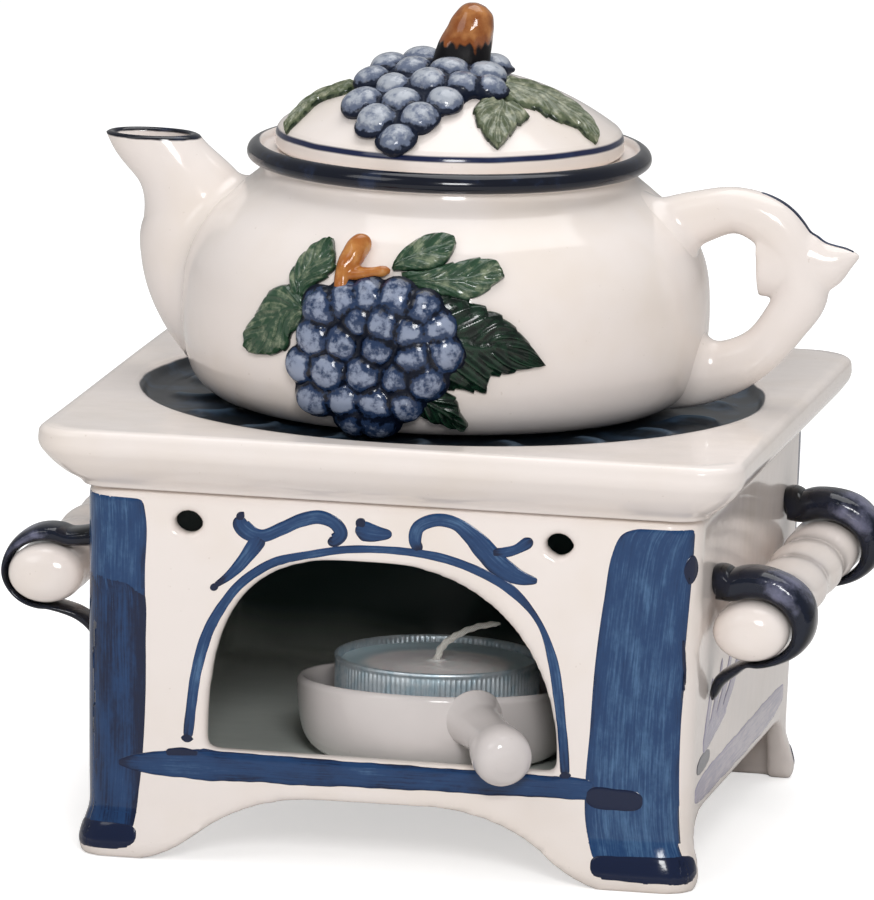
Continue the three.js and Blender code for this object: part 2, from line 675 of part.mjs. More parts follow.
// A leaf draped on a surface: a grid across the midrib, lobed at its edges
function leaf(shape) {
  const { base, turn, length, width, lobes, surface } = shape;
  const { low = GAP, high = GAP + LEAF_THICKNESS, grow = 0, across = 2 } = shape;
  const along = 9;
  const cos = Math.cos(THREE.MathUtils.degToRad(turn));
  const sin = Math.sin(THREE.MathUtils.degToRad(turn));
  const at = (i, j, top) => {
    const t = i / along;
    const swell = Math.sin(Math.PI * t ** 0.8) ** 0.7;
    const half = LEAF_TIP + grow + 0.5 * width * swell * (0.86 + 0.16 * Math.cos(2 * Math.PI * lobes * t));
    const u = t * (length + 2 * grow) - grow;
    const v = half * ((2 * j) / across - 1);
    const rib = top && 2 * j === across ? LEAF_RIB : 0;
    return surface(base[0] + u * cos - v * sin, base[1] + u * sin + v * cos, (top ? high : low) + rib);
  };
  const points = [];
  for (let top = 0; top < 2; top++)
    for (let i = 0; i <= along; i++)
      for (let j = 0; j <= across; j++) points.push(at(i, j, top === 1));
  const index = (i, j, top) => (top * (along + 1) + i) * (across + 1) + j;
  const faces = [];
  const quad = (a, b, c, d) => faces.push(a, b, c, a, c, d);
  for (let i = 0; i < along; i++)
    for (let j = 0; j < across; j++) {
      quad(index(i, j, 1), index(i + 1, j, 1), index(i + 1, j + 1, 1), index(i, j + 1, 1));
      quad(index(i, j, 0), index(i, j + 1, 0), index(i + 1, j + 1, 0), index(i + 1, j, 0));
    }
  for (let i = 0; i < along; i++) {
    quad(index(i, 0, 0), index(i + 1, 0, 0), index(i + 1, 0, 1), index(i, 0, 1));
    quad(index(i + 1, across, 0), index(i, across, 0), index(i, across, 1), index(i + 1, across, 1));
  }
  for (let j = 0; j < across; j++) {
    quad(index(0, j + 1, 0), index(0, j, 0), index(0, j, 1), index(0, j + 1, 1));
    quad(index(along, j, 0), index(along, j + 1, 0), index(along, j + 1, 1), index(along, j, 1));
  }
  const geometry = new THREE.BufferGeometry();
  geometry.setAttribute("position", new THREE.Float32BufferAttribute(points.flatMap((p) => p.toArray()), 3));
  geometry.setIndex(faces);
  return solid(geometry);
}

// Leaves laid one after another, each trimmed where an earlier piece already lies
function leaves(list, surface, taken) {
  const made = [];
  let covered = taken;
  for (const each of list) {
    made.push(mainBody(leaf({ ...each, surface }).subtract(covered)));
    covered = covered.add(leaf({ ...each, surface, low: -1, high: 4, grow: GAP }));
  }
  return made;
}

// Berries as [along, up] on the pot and as [x, y] on the lid, each list starting at the stalk
const POT_BERRIES = [
  [-5.5, 107], [-1.8, 105.5], [-12, 105.9], [3.2, 103.9],
  [-13, 101.9], [-5, 102.2], [1.2, 100.8], [6.5, 101.6],
  [-14.8, 96.9], [-8.5, 97.1], [-1, 95.8], [6.2, 96.5],
  [-17.2, 90.5], [-11.8, 91.9], [-4.5, 90.8], [3, 91.2],
  [-14.4, 85.8], [-8.8, 86.4], [-1, 86.6], [-3.4, 84.2],
];
const POT_PAD = { base: [-5, 109], turn: -100, length: 26, width: 21, lobes: 0, across: 4 };
const POT_LEAVES = [
  { base: [4, 98.6], turn: -11, length: 24.8, width: 16, lobes: 3 },
  { base: [2.5, 108.6], turn: 2, length: 18, width: 6.4, lobes: 3 },
  { base: [-19.2, 104.5], turn: 65, length: 10.4, width: 8, lobes: 3 },
  { base: [-17.6, 101.6], turn: 216, length: 15.6, width: 9.4, lobes: 3 },
  { base: [-0.5, 111], turn: 19, length: 12.6, width: 6.2, lobes: 3 },
  { base: [5.5, 88], turn: -33, length: 10.4, width: 7, lobes: 3 },
];
const POT_TWIG = [[-9.9, 106.6], [-9.9, 109], [-9.2, 111.4], [-8.3, 113]];
const LID_BERRIES = [
  [-6.6, -6.6], [2.4, -8.6], [-10.8, -3.6], [8.8, -3.6],
  [8.2, -9.8], [-5.4, -12.2], [1.6, -13.8], [-12.6, -10.6],
  [-8.4, -16.6], [-2.2, -18.6], [4.6, -18.6], [8.8, -16],
  [-12, -20.4], [-5.4, -22.8], [2.4, -24.6], [-8.2, -26],
  [-3, -28.6],
];
const LID_PAD = { base: [-1, -1], turn: -92, length: 28, width: 19, lobes: 0, across: 4 };
const LID_LEAVES = [
  { base: [11, -15], turn: -75, length: 12.4, width: 10, lobes: 3 },
  { base: [11.5, -8], turn: -9, length: 18.4, width: 9.6, lobes: 3 },
  { base: [-16.4, -7.6], turn: 221, length: 14.4, width: 7.4, lobes: 3 },
];
const LID_TWIG = [
  [1.4, -2.5, 5.1],
  [2.2, 3, 4.9],
  [3.3, 7.2, 4.1],
  [4.7, 10.4, 3.1],
  [5.5, 11.7, 1.5],
];

function lidForm(margin) {
  const dome = Array.from({ length: 7 }, (_, i) => (LID_RADIUS * (6 - i)) / 6);
  return turned([
    [0, LID_BASE],
    [LID_RADIUS + margin, LID_BASE],
    [LID_RADIUS + margin, LID_SHOULDER],
    ...dome.map((radius) => [radius, lidHeightAt(radius) + margin]),
  ], ROUND_FACES, POT_AXIS_X);
}

// Lid: a low dome with an upright edge, hollow below, and a flange that centres it in the mouth
function lidDome() {
  const flange = MOUTH_RADIUS - LID_FLANGE_CLEARANCE;
  const bottom = LID_BASE - LID_FLANGE_DEPTH;
  const outer = Array.from({ length: 7 }, (_, i) => (LID_RADIUS * (6 - i)) / 6);
  const inner = Array.from({ length: 5 }, (_, i) => ((flange - LID_FLANGE_WALL) * i) / 4);
  return turned([
    ...inner.map((radius) => [radius, lidHeightAt(radius) - LID_WALL]),
    [flange - LID_FLANGE_WALL, bottom + 0.6],
    [flange - 0.5 * LID_FLANGE_WALL, bottom],
    [flange, bottom + 0.6],
    [flange, LID_BASE],
    [LID_RADIUS - 0.4, LID_BASE],
    [LID_RADIUS, LID_BASE + 0.6],
    [LID_RADIUS, LID_SHOULDER - 0.5],
    [LID_RADIUS - 0.35, LID_SHOULDER],
    ...outer.slice(1).map((radius) => [radius, lidHeightAt(radius)]),
  ], ROUND_FACES, POT_AXIS_X);
}

function addTeapot() {
  const pot = potBody().subtract(pourHole());
  place("pot_body", geometryOf(pot), CREAM);
  place("pot_spout", geometryOf(potSpout()), CREAM);
  place("pot_handle", geometryOf(potHandle()), CREAM);
  const form = potForm(GAP);
  place("pot_grapes", geometryOf(bunch(POT_BERRIES, POT_PAD, onPot, 0)), GRAPE);
  const bunchRoom = bunch(POT_BERRIES, POT_PAD, onPot, GAP);
  const path = POT_TWIG.map(([s, z]) => onPot(s, z, 1.2).toArray());
  const stalk = solid(twig(path, TWIG_RADIUS)).subtract(form).subtract(bunchRoom);
  place("pot_twig", geometryOf(mainBody(stalk)), TWIG);
  const taken = bunchRoom.add(solid(twig(path, TWIG_RADIUS + GAP))).add(form);
  leaves(POT_LEAVES, onPot, taken).forEach((body, i) => {
    place(`pot_leaf_${i + 1}`, geometryOf(body), LEAF);
  });
}

function lidTwig(margin) {
  const top = lidHeightAt(0);
  return solid(limb(
    LID_TWIG.map(([x, height, radius]) => [POT_AXIS_X + x, top + height, radius + margin, radius + margin]),
    { steps: 8, sides: 12 }));
}

function addLid() {
  place("lid_dome", lidDome(), CREAM);
  const form = solid(lidForm(GAP));
  const stalkRoom = lidTwig(GAP);
  const grapes = bunch(LID_BERRIES, LID_PAD, onLid, 0).subtract(stalkRoom);
  place("lid_grapes", geometryOf(mainBody(grapes)), GRAPE);
  place("lid_twig", geometryOf(mainBody(lidTwig(0).subtract(form))), TWIG);
  const taken = bunch(LID_BERRIES, LID_PAD, onLid, GAP).add(stalkRoom).add(form);
  leaves(LID_LEAVES, onLid, taken).forEach((body, i) => {
    place(`lid_leaf_${i + 1}`, geometryOf(body), LEAF);
  });
}

// Burner dish

// The dish is a round pan whose rim rises a little towards the front
function dishBowl() {
  const outer = smooth([
    [DISH_FOOT_RADIUS, 0],
    [0.865 * DISH_RADIUS, 0.06 * DISH_HEIGHT],
    [0.935 * DISH_RADIUS, 0.22 * DISH_HEIGHT],
    [0.973 * DISH_RADIUS, 0.46 * DISH_HEIGHT],
    [DISH_RADIUS, 0.95 * DISH_HEIGHT],
  ], 8);
  const inner = [
    [DISH_RADIUS - 0.8, DISH_HEIGHT],
    [DISH_RADIUS - 0.8 * DISH_WALL, DISH_HEIGHT - 0.3],
    ...outer.slice(2, 8)
      .map(([radius, height]) => [radius - DISH_WALL, Math.max(height, DISH_BASE + 0.5)])
      .reverse(),
    [CANDLE_RADIUS + 0.6, DISH_BASE],
    [0, DISH_BASE],
  ];
  const geometry = turned([[0, 0], ...outer, ...inner], ROUND_FACES, DISH_X, DISH_Y)
    .translate(0, 0, DISH_FLOOR);
  const position = geometry.getAttribute("position");
  for (let i = 0; i < position.count; i++) {
    const share = THREE.MathUtils.clamp((position.getZ(i) - DISH_FLOOR - DISH_BASE - 1) / DISH_HEIGHT, 0, 1);
    position.setZ(i, position.getZ(i) - DISH_RIM_SLOPE * share * (position.getY(i) - DISH_Y));
  }
  return solid(geometry);
}

// A short turned handle that starts on the bowl's wall and slopes down over the sill
function dishHandle() {
  const start = DISH_RADIUS - DISH_WALL;
  const end = PAN_HANDLE_REACH;
  const run = end - start;
  const sizes = [
    [0, PAN_HANDLE_RADIUS + 0.6],
    [0.22 * run, PAN_HANDLE_WAIST + 0.5],
    [0.4 * run, PAN_HANDLE_WAIST],
    [0.6 * run, 0.94 * PAN_HANDLE_RADIUS],
    [0.74 * run, PAN_HANDLE_RADIUS],
    [0.9 * run, PAN_HANDLE_RADIUS],
    [0.975 * run, 0.8 * PAN_HANDLE_RADIUS],
    [run, 0.45 * PAN_HANDLE_RADIUS],
  ];
  const slope = Math.atan2(PAN_HANDLE_DROP, run);
  const height = DISH_FLOOR + 0.9 * DISH_HEIGHT;
  const body = solid(
    turned([[0, 0], ...sizes.map(([along, radius]) => [radius, along]), [0, run]], 20)
      .rotateX(Math.PI / 2)
      .rotateX(slope)
      .translate(0, -start, height)
      .rotateZ(THREE.MathUtils.degToRad(PAN_HANDLE_TURN))
      .translate(DISH_X, DISH_Y, 0));
  const clear = DISH_RADIUS + GAP;
  const above = DISH_FLOOR + 3 * DISH_HEIGHT;
  const inside = solid(turned([[0, 0], [clear, 0], [clear, above], [0, above]], ROUND_FACES, DISH_X, DISH_Y));
  return body.subtract(inside);
}

// Tealight: a foil cup, its wax, the wick's metal sustainer and the wick
function addTealight() {
  const top = CANDLE_BASE + CANDLE_HEIGHT;
  const wall = CANDLE_RADIUS - CANDLE_FOIL;
  place("tealight_cup", turned([
    [0, CANDLE_BASE],
    [CANDLE_RADIUS - 1, CANDLE_BASE],
    [CANDLE_RADIUS - 0.2, CANDLE_BASE + 0.8],
    [CANDLE_RADIUS, top - 0.4],
    [CANDLE_RADIUS - 0.3, top],
    [wall - 0.1, top - 0.3],
    [wall - 0.2, CANDLE_BASE + 0.9],
    [wall - 1, CANDLE_BASE + CANDLE_FOIL],
    [0, CANDLE_BASE + CANDLE_FOIL],
  ], ROUND_FACES, DISH_X, DISH_Y), FOIL);
  const floor = CANDLE_BASE + CANDLE_FOIL + GAP;
  const sustainerTop = floor + SUSTAINER_THICKNESS;
  const wax = wall - 0.2 - GAP;
  const waxTop = top - WAX_DROP;
  place("tealight_wax", turned([
    [SUSTAINER_RADIUS + GAP, floor],
    [wax - 1.2, floor],
    [wax, floor + 1.2],
    [wax, waxTop - 1.2],
    [wax - 1.2, waxTop - 0.3],
    [0.5 * wax, waxTop],
    [WICK_RADIUS + GAP, waxTop + 0.2],
    [WICK_RADIUS + GAP, sustainerTop + GAP],
    [SUSTAINER_RADIUS + GAP, sustainerTop + GAP],
    [SUSTAINER_RADIUS + GAP, floor],
  ], 28, DISH_X, DISH_Y), WAX);
  place("wick_sustainer", turned([
    [0, floor], [SUSTAINER_RADIUS, floor], [SUSTAINER_RADIUS, sustainerTop], [0, sustainerTop],
  ], 24, DISH_X, DISH_Y), FOIL);
  const wick = twig([
    [DISH_X, DISH_Y, sustainerTop + GAP],
    [DISH_X, DISH_Y, waxTop - 4],
    [DISH_X, DISH_Y, waxTop + 0.8],
    [DISH_X + 0.8, DISH_Y, waxTop + 3],
    [DISH_X + 3, DISH_Y, waxTop + 5],
    [DISH_X + 6.8, DISH_Y, waxTop + 7],
    [DISH_X + 11.6, DISH_Y, waxTop + 8],
  ], WICK_RADIUS, 8, 14);
  place("tealight_wick", wick, COTTON);
}

// Assembly

place("stove_body", stoveBody(), CREAM);
place("stove_top", stoveTop(), CREAM);
addHandrail(-1, "left");
addHandrail(1, "right");
addTeapot();
addLid();
const bowl = dishBowl();
place("dish_bowl", geometryOf(bowl), WHITE);
place("dish_handle", geometryOf(dishHandle()), WHITE);
addTealight();

export default group;
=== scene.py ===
"""Ceramic teapot burner: glazed surfaces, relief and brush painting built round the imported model.

Lengths are worked out in millimetres and turned into metres when a mesh is made.
+Z is up, the arched front faces -Y, the spout points to -X and the handle to +X.
"""

import bpy
import numpy as np
from mathutils import Matrix, Vector


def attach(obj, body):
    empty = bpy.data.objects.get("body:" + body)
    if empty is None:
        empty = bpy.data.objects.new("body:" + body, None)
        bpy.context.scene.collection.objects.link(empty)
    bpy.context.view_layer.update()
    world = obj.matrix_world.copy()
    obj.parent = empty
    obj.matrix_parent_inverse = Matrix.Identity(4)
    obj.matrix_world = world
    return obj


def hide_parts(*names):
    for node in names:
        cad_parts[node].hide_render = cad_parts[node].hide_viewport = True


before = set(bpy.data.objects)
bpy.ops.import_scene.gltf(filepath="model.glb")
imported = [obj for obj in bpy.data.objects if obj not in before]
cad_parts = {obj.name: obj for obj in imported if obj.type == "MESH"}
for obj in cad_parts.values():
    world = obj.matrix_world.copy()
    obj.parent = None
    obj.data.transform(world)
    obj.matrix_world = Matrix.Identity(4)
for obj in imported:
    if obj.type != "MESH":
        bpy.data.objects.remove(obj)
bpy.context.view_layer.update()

# A millimetre in metres, the gap between touching parts, and a radius that stands for none
MM = 0.001
GAP = 0.3
TINY = 0.02

# Stove, as in the model
STOVE_HALF = 57.2
STOVE_HEIGHT = 68.8
STOVE_CORNER = 6.0
STOVE_WALL = 4.5
STOVE_TAPER = 1.2
FLOOR_TOP = 17.0
SLAB_HALF = 65.4
SLAB_CORNER = 8.0
SLAB_THICKNESS = 11.6
SLAB_LAND = 4.2
SLAB_PLATE = 3.6
WELL_RADIUS = 58.5
WELL_FLOOR_RADIUS = 54.5
WELL_DEPTH = 2.6
WELL_BRIM = WELL_RADIUS + 1.1
SLAB_SHOULDER = 1.7
FLUE_RADIUS = 18.0
GADROONS = 18
GADROON_RISE = 0.95
GADROON_HALF_WIDTH = 0.12
GADROON_TWIST = 0.09
FLUE_ROUND = 0.8
UNDER_CORNER = 3.0

# Rails and scroll brackets
RAIL_RADIUS = 6.15
RAIL_OVAL = 1.13
RAIL_HALF_LENGTH = 46.0
RAIL_OUT = {"left": 10.5, "right": 7.7}
RAIL_HEIGHT = {"left": 49.2, "right": 47.0}
RAIL_TILT = {"left": 0.0, "right": 0.7}
SCROLL_PLACE = 38.0
SCROLL_WIDTH = 9.0
SCROLL_BAND = {"left": 3.2, "right": 5.8}
SCROLL_UNDER = 1.3
SCROLL_THINS = {"left": (0, 100), "right": (-80, 60)}
SCROLL_TAIL_DROP = 14.0

# Teapot and lid
POT_AXIS_X = -1.75
POT_RADIUS = 49.0
POT_FOOT_RADIUS = 36.0
POT_FOOT_RECESS = 1.2
POT_NECK_RADIUS = 34.4
POT_NECK_HEIGHT = 44.15
POT_WALL = 3.2
RIM_RADIUS = 37.5
RIM_HEIGHT = 4.1
RIM_LEDGE_WIDTH = 3.0
MOUTH_RADIUS = 30.5
LEDGE_DROP = 1.6
LID_RADIUS = 32.3
LID_EDGE_HEIGHT = 3.5
LID_RISE = 11.1
LID_WALL = 3.0
LID_FLANGE_DEPTH = 5.5
LID_FLANGE_WALL = 2.4
LID_FLANGE_CLEARANCE = 0.8

# Dish and tealight
DISH_X = 3.4
DISH_Y = -25.5
DISH_RADIUS = 26.0
DISH_FOOT_RADIUS = 19.5
DISH_HEIGHT = 13.5
DISH_WALL = 2.4
DISH_BASE = 1.8
DISH_RIM_SLOPE = 0.085
PAN_HANDLE_TURN = 27.3
CANDLE_RADIUS = 19.0
CANDLE_HEIGHT = 16.0
CANDLE_FOIL = 0.5
WAX_DROP = 1.6
WICK_RADIUS = 0.8
SUSTAINER_THICKNESS = 0.5
SUSTAINER_ROOM = 6.3
PLEATS = 120
PLEAT_DEPTH = 0.11

# Places worked out from the sizes above
SLAB_BASE = STOVE_HEIGHT + GAP
SLAB_TOP = SLAB_BASE + SLAB_THICKNESS
WELL_FLOOR = SLAB_TOP - WELL_DEPTH
CEILING = WELL_FLOOR - SLAB_PLATE
INNER_HALF = STOVE_HALF - STOVE_WALL
POT_BASE = WELL_FLOOR + GAP
NECK_TOP = POT_BASE + POT_NECK_HEIGHT
RIM_TOP = NECK_TOP + RIM_HEIGHT
LEDGE_TOP = RIM_TOP - LEDGE_DROP
LID_BASE = LEDGE_TOP + GAP
LID_SHOULDER = LID_BASE + LID_EDGE_HEIGHT
DISH_FLOOR = FLOOR_TOP + GAP
CANDLE_BASE = DISH_FLOOR + DISH_BASE + GAP
UP = np.array([0.0, 0.0, 1.0])
SIDEWAYS = np.array([0.0, 1.0, 0.0])


# Curves and grids

def curve(rows, count):
    """Smooth line through rows of numbers: each span is the cubic whose knots lie the square root
    of the chord apart (centripetal Catmull-Rom). Gives count rows, evenly spaced between knots."""
    rows = np.asarray(rows, float)
    points = np.vstack([2 * rows[0] - rows[1], rows, 2 * rows[-1] - rows[-2]])
    chords = np.linalg.norm(np.diff(points, axis=0), axis=1)
    knots = np.concatenate([[0.0], np.cumsum(np.sqrt(np.maximum(chords, 1e-6)))])
    t = np.linspace(knots[1], knots[-2], count)
    i = np.clip(np.searchsorted(knots, t, side="right") - 1, 1, len(rows) - 1)
    k0, k1, k2, k3 = (knots[i + n] for n in (-1, 0, 1, 2))
    p0, p1, p2, p3 = (points[i + n] for n in (-1, 0, 1, 2))

    def mix(a, b, start, end):
        return a + (b - a) * ((t - start) / (end - start))[:, None]

    a1, a2, a3 = mix(p0, p1, k0, k1), mix(p1, p2, k1, k2), mix(p2, p3, k2, k3)
    return mix(mix(a1, a2, k0, k2), mix(a2, a3, k1, k3), k1, k2)


def unit(vectors):
    """Each vector divided by its own length."""
    return vectors / np.maximum(np.linalg.norm(vectors, axis=-1, keepdims=True), 1e-9)


def ease(x, low, high):
    """0 below low, 1 above high, and the cubic 3x^2 - 2x^3 of the share between."""
    share = np.clip((x - low) / (high - low), 0, 1)
    return share * share * (3 - 2 * share)


def ripple(points, pitch, seed=0.0):
    """Slow unevenness from -1 to 1: the mean of three sine waves that cross each other."""
    x, y, z = np.moveaxis(points / pitch, -1, 0)
    one = np.sin(1.3 * x + 0.7 * y + 0.4 * z + seed)
    two = np.sin(-0.6 * x + 1.1 * y + 0.9 * z + 1.7 * seed + 2)
    three = np.sin(0.5 * x - 0.8 * y + 1.4 * z + 2.3 * seed + 4)
    return (one + two + three) / 3


def grid_quads(rows, columns, wrap_rows, wrap_columns):
    """Index quads over a rows by columns grid, joined end to start where it wraps."""
    i = np.arange(rows if wrap_rows else rows - 1)
    j = np.arange(columns if wrap_columns else columns - 1)
    i, j = np.meshgrid(i, j, indexing="ij")
    i2, j2 = (i + 1) % rows, (j + 1) % columns
    quads = [i * columns + j, i * columns + j2, i2 * columns + j2, i2 * columns + j]
    return np.stack(quads, -1).reshape(-1, 4)


def volume_of(points, quads, fans):
    """Signed volume from the origin: a sixth of the triple product of every triangle."""
    triangles = np.vstack([quads[:, [0, 1, 2]], quads[:, [0, 2, 3]], fans.reshape(-1, 3)])
    a, b, c = (points[triangles[:, n]] for n in range(3))
    return np.einsum("ij,ij->i", a, np.cross(b, c)).sum() / 6


def closed_shell(grid, wrap_rows=False):
    """A closed skin over rings of points, grid[ring, place, xyz]. The rings close on themselves.
    The ends are closed by fans to their middles, or wrap_rows joins the last ring to the first."""
    rows, columns = grid.shape[:2]
    points = grid.reshape(-1, 3)
    quads = grid_quads(rows, columns, wrap_rows, True)
    fans = np.zeros((0, 3), int)
    if not wrap_rows:
        around = np.arange(columns)
        onward = (around + 1) % columns
        first = len(points)
        points = np.vstack([points, grid[0].mean(0), grid[-1].mean(0)])
        last = (rows - 1) * columns
        start = np.stack([np.full(columns, first), onward, around], -1)
        end = np.stack([np.full(columns, first + 1), last + around, last + onward], -1)
        fans = np.vstack([start, end])
    if volume_of(points, quads, fans) < 0:
        quads, fans = quads[:, ::-1], fans[:, ::-1]
    return {"points": points, "quads": quads, "fans": fans}


def merged(shells):
    """Several closed skins as one, each keeping its own faces."""
    offsets = np.cumsum([0] + [len(each["points"]) for each in shells[:-1]])
    return {
        "points": np.vstack([each["points"] for each in shells]),
        "quads": np.vstack([each["quads"] + at for each, at in zip(shells, offsets)]),
        "fans": np.vstack([each["fans"] + at for each, at in zip(shells, offsets)]),
    }


def circle(count):
    """Even angles once round, without the last that would repeat the first."""
    return np.linspace(0, 2 * np.pi, count, endpoint=False)


def turned(profile, around, x=0.0, y=0.0):
    """A body turned about the vertical: [radius, height] rows carried round at even angles."""
    profile = np.asarray(profile, float)
    radius = np.maximum(profile[:, :1], TINY)
    angle = circle(around)
    return np.stack([x + radius * np.cos(angle), y + radius * np.sin(angle),
                     profile[:, 1:] + 0 * angle], -1)


def swept(rows, reference, around, steps, power=2.0, end_tangent=None):
    """Sections carried along a smooth line. Each row is [x, y, z, half depth, half width]: depth
    lies across the line, width along the reference. A section is a superellipse, where
    |depth|^power + |width|^power is constant, so power 2 is an ellipse and more is squarer."""
    line = curve(rows, steps)
    centre, size = line[:, :3], line[:, 3:5]
    along = unit(np.gradient(centre, axis=0))
    if end_tangent is not None:
        turn = ease(np.linspace(0, 1, steps), 0.82, 1.0)[:, None]
        along = unit(along * (1 - turn) + np.asarray(end_tangent) * turn)
    across = unit(np.cross(reference, along))
    beside = unit(np.cross(along, across))
    cosine, sine = np.cos(circle(around)), np.sin(circle(around))
    depth = np.sign(cosine) * np.abs(cosine) ** (2 / power)
    width = np.sign(sine) * np.abs(sine) ** (2 / power)
    return (centre[:, None]
            + across[:, None] * (size[:, 0, None] * depth)[..., None]
            + beside[:, None] * (size[:, 1, None] * width)[..., None])


def folded(upper, lower):
    """Rows that run over the top of a sheet and back underneath."""
    return np.concatenate([upper, lower[:, ::-1]], axis=1)


def run_of(points):
    """The length of a line from its start to each of its points."""
    return np.concatenate([[0], np.cumsum(np.linalg.norm(np.diff(points, axis=0), axis=1))])


def with_ends(values):
    """Values for the points of a closed skin: its two end middles repeat the first and the last."""
    return np.concatenate([values, values[:1], values[-1:]])


# Making pieces

def mesh_object(name, shell, uv=None, values=None):
    """A Blender object from a shell in millimetres, with an optional UV pair and named values
    for each point."""
    mesh = bpy.data.meshes.new(name)
    faces = shell["quads"].tolist() + shell["fans"].tolist()
    mesh.from_pydata((shell["points"] * MM).tolist(), [], faces)
    if uv is not None:
        corners = np.empty(len(mesh.loops), np.int32)
        mesh.loops.foreach_get("vertex_index", corners)
        layer = mesh.uv_layers.new(name="UVMap")
        layer.data.foreach_set("uv", uv[corners].astype(np.float32).ravel())
    for key, value in (values or {}).items():
        add_value(mesh, key, value)
    mesh.shade_smooth()
    piece = bpy.data.objects.new(name, mesh)
    bpy.context.scene.collection.objects.link(piece)
    return piece


def add_value(mesh, key, value):
    """Writes one number for each point of a mesh under a name."""
    attribute = mesh.attributes.new(key, "FLOAT", "POINT")
    attribute.data.foreach_set("value", np.asarray(value, np.float32))


def points_of(mesh):
    """The points of a mesh in millimetres."""
    flat = np.empty(3 * len(mesh.vertices), np.float32)
    mesh.vertices.foreach_get("co", flat)
    return flat.reshape(-1, 3).astype(float) / MM


def normals_of(mesh):
    """The unit normal at each point of a mesh."""
    flat = np.empty(3 * len(mesh.vertices), np.float32)
    mesh.vertex_normals.foreach_get("vector", flat)
    return flat.reshape(-1, 3).astype(float)


def move_points(mesh, points):
    """Puts the points of a mesh at new places in millimetres."""
    mesh.vertices.foreach_set("co", (points * MM).astype(np.float32).ravel())
    mesh.update()


def settle(piece):
    """Turns what the modifiers of a piece give into its own mesh."""
    graph = bpy.context.evaluated_depsgraph_get()
    settled = bpy.data.meshes.new_from_object(piece.evaluated_get(graph))
    piece.modifiers.clear()
    piece.data = settled
    settled.shade_smooth()
    return piece


def soften(piece, voxel, passes):
    """One even skin over all the shells of a piece, relaxed so that edges and joins are soft."""
    remesh = piece.modifiers.new("even skin", "REMESH")
    remesh.mode = "VOXEL"
    remesh.voxel_size = voxel * MM
    relax = piece.modifiers.new("soft edges", "SMOOTH")
    relax.factor = 0.5
    relax.iterations = passes
    return settle(piece)


def model_copy(source, name):
    """A copy of a node of the model with its loose triangles merged."""
    piece = bpy.data.objects.new(name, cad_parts[source].data.copy())
    bpy.context.scene.collection.objects.link(piece)
    piece.data.materials.clear()
    weld = piece.modifiers.new("merge", "WELD")
    weld.merge_threshold = 0.002 * MM
    return settle(piece)


def dress(piece, finish, body, nodes):
    """Gives a piece its material and its body, and hides the model's nodes that it stands for."""
    piece.data.materials.clear()
    piece.data.materials.append(MATERIAL[finish])
    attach(piece, body)
    if nodes:
        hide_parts(*nodes)
    return piece


def add_piece(name, shell, finish, body, nodes=(), uv=None, values=None):
    """A finished piece from a shell."""
    return dress(mesh_object(name, shell, uv, values), finish, body, nodes)


# Node helpers

def node(tree, kind, inputs=None, **settings):
    """A node with its settings and inputs; an input is a number, a colour or another output."""
    made = tree.nodes.new(kind)
    for key, value in settings.items():
        setattr(made, key, value)
    for key, value in (inputs or {}).items():
        if isinstance(value, bpy.types.NodeSocket):
            tree.links.new(value, made.inputs[key])
        else:
            made.inputs[key].default_value = value
    return made


def calc(tree, operation, a, b=0.0, c=0.0):
    """One step of arithmetic."""
    return node(tree, "ShaderNodeMath", {0: a, 1: b, 2: c}, operation=operation).outputs[0]


def product(tree, value, *others):
    """Values multiplied together."""
    for other in others:
        value = calc(tree, "MULTIPLY", value, other)
    return value


def rest_of(tree, share):
    """1 minus a share."""
    return calc(tree, "SUBTRACT", 1.0, share)


def between(tree, value, low, high):
    """0 below low to 1 above high, smoothly."""
    made = node(tree, "ShaderNodeMapRange", {"Value": value, "From Min": low, "From Max": high},
                interpolation_type="SMOOTHSTEP")
    return made.outputs["Result"]


def blend(tree, share, a, b):
    """Colour a turning into colour b by a share."""
    made = node(tree, "ShaderNodeMix", {0: share, 6: a, 7: b}, data_type="RGBA")
    return made.outputs[2]


def noise(tree, place, scale, detail=2.0, rough=0.5, stretch=None):
    """Soft random values from 0 to 1 at a scale per millimetre, stretched along the axes."""
    if stretch is not None:
        place = node(tree, "ShaderNodeMapping", {"Vector": place, "Scale": stretch}).outputs[0]
    made = node(tree, "ShaderNodeTexNoise",
                {"Vector": place, "Scale": scale, "Detail": detail, "Roughness": rough})
    return made.outputs["Fac"]


def carried(tree, name):
    """The number that the mesh carries at each of its points under a name."""
    return node(tree, "ShaderNodeAttribute", attribute_name=name).outputs["Fac"]


def axes(tree, place):
    """The three numbers of a place."""
    return node(tree, "ShaderNodeSeparateXYZ", {0: place}).outputs


def radius_from(tree, place, x, y):
    """Distance from a vertical axis."""
    moved = node(tree, "ShaderNodeVectorMath", {0: place, 1: (x, y, 0.0)}, operation="SUBTRACT")
    flat = node(tree, "ShaderNodeVectorMath", {0: moved.outputs[0], 1: (1.0, 1.0, 0.0)},
                operation="MULTIPLY")
    return node(tree, "ShaderNodeVectorMath", {0: flat.outputs[0]}, operation="LENGTH").outputs[1]


def wavy(tree, place, value, size, scale=0.06):
    """A value with a slow random wander added, so that a painted edge is not ruler straight."""
    wander = calc(tree, "SUBTRACT", noise(tree, place, scale), 0.5)
    return calc(tree, "MULTIPLY_ADD", wander, size, value)


def strip(tree, value, low, high, soft):
    """1 between low and high, with soft edges."""
    rise = between(tree, value, low - soft, low + soft)
    fall = between(tree, value, high - soft, high + soft)
    return product(tree, rise, rest_of(tree, fall))


def srgb(red, green, blue):
    """A colour given as 0 to 255 display values, in the linear values that the nodes use."""
    share = np.array([red, green, blue]) / 255
    linear = np.where(share <= 0.04045, share / 12.92, ((share + 0.055) / 1.055) ** 2.4)
    return (*linear.tolist(), 1.0)


# Colours

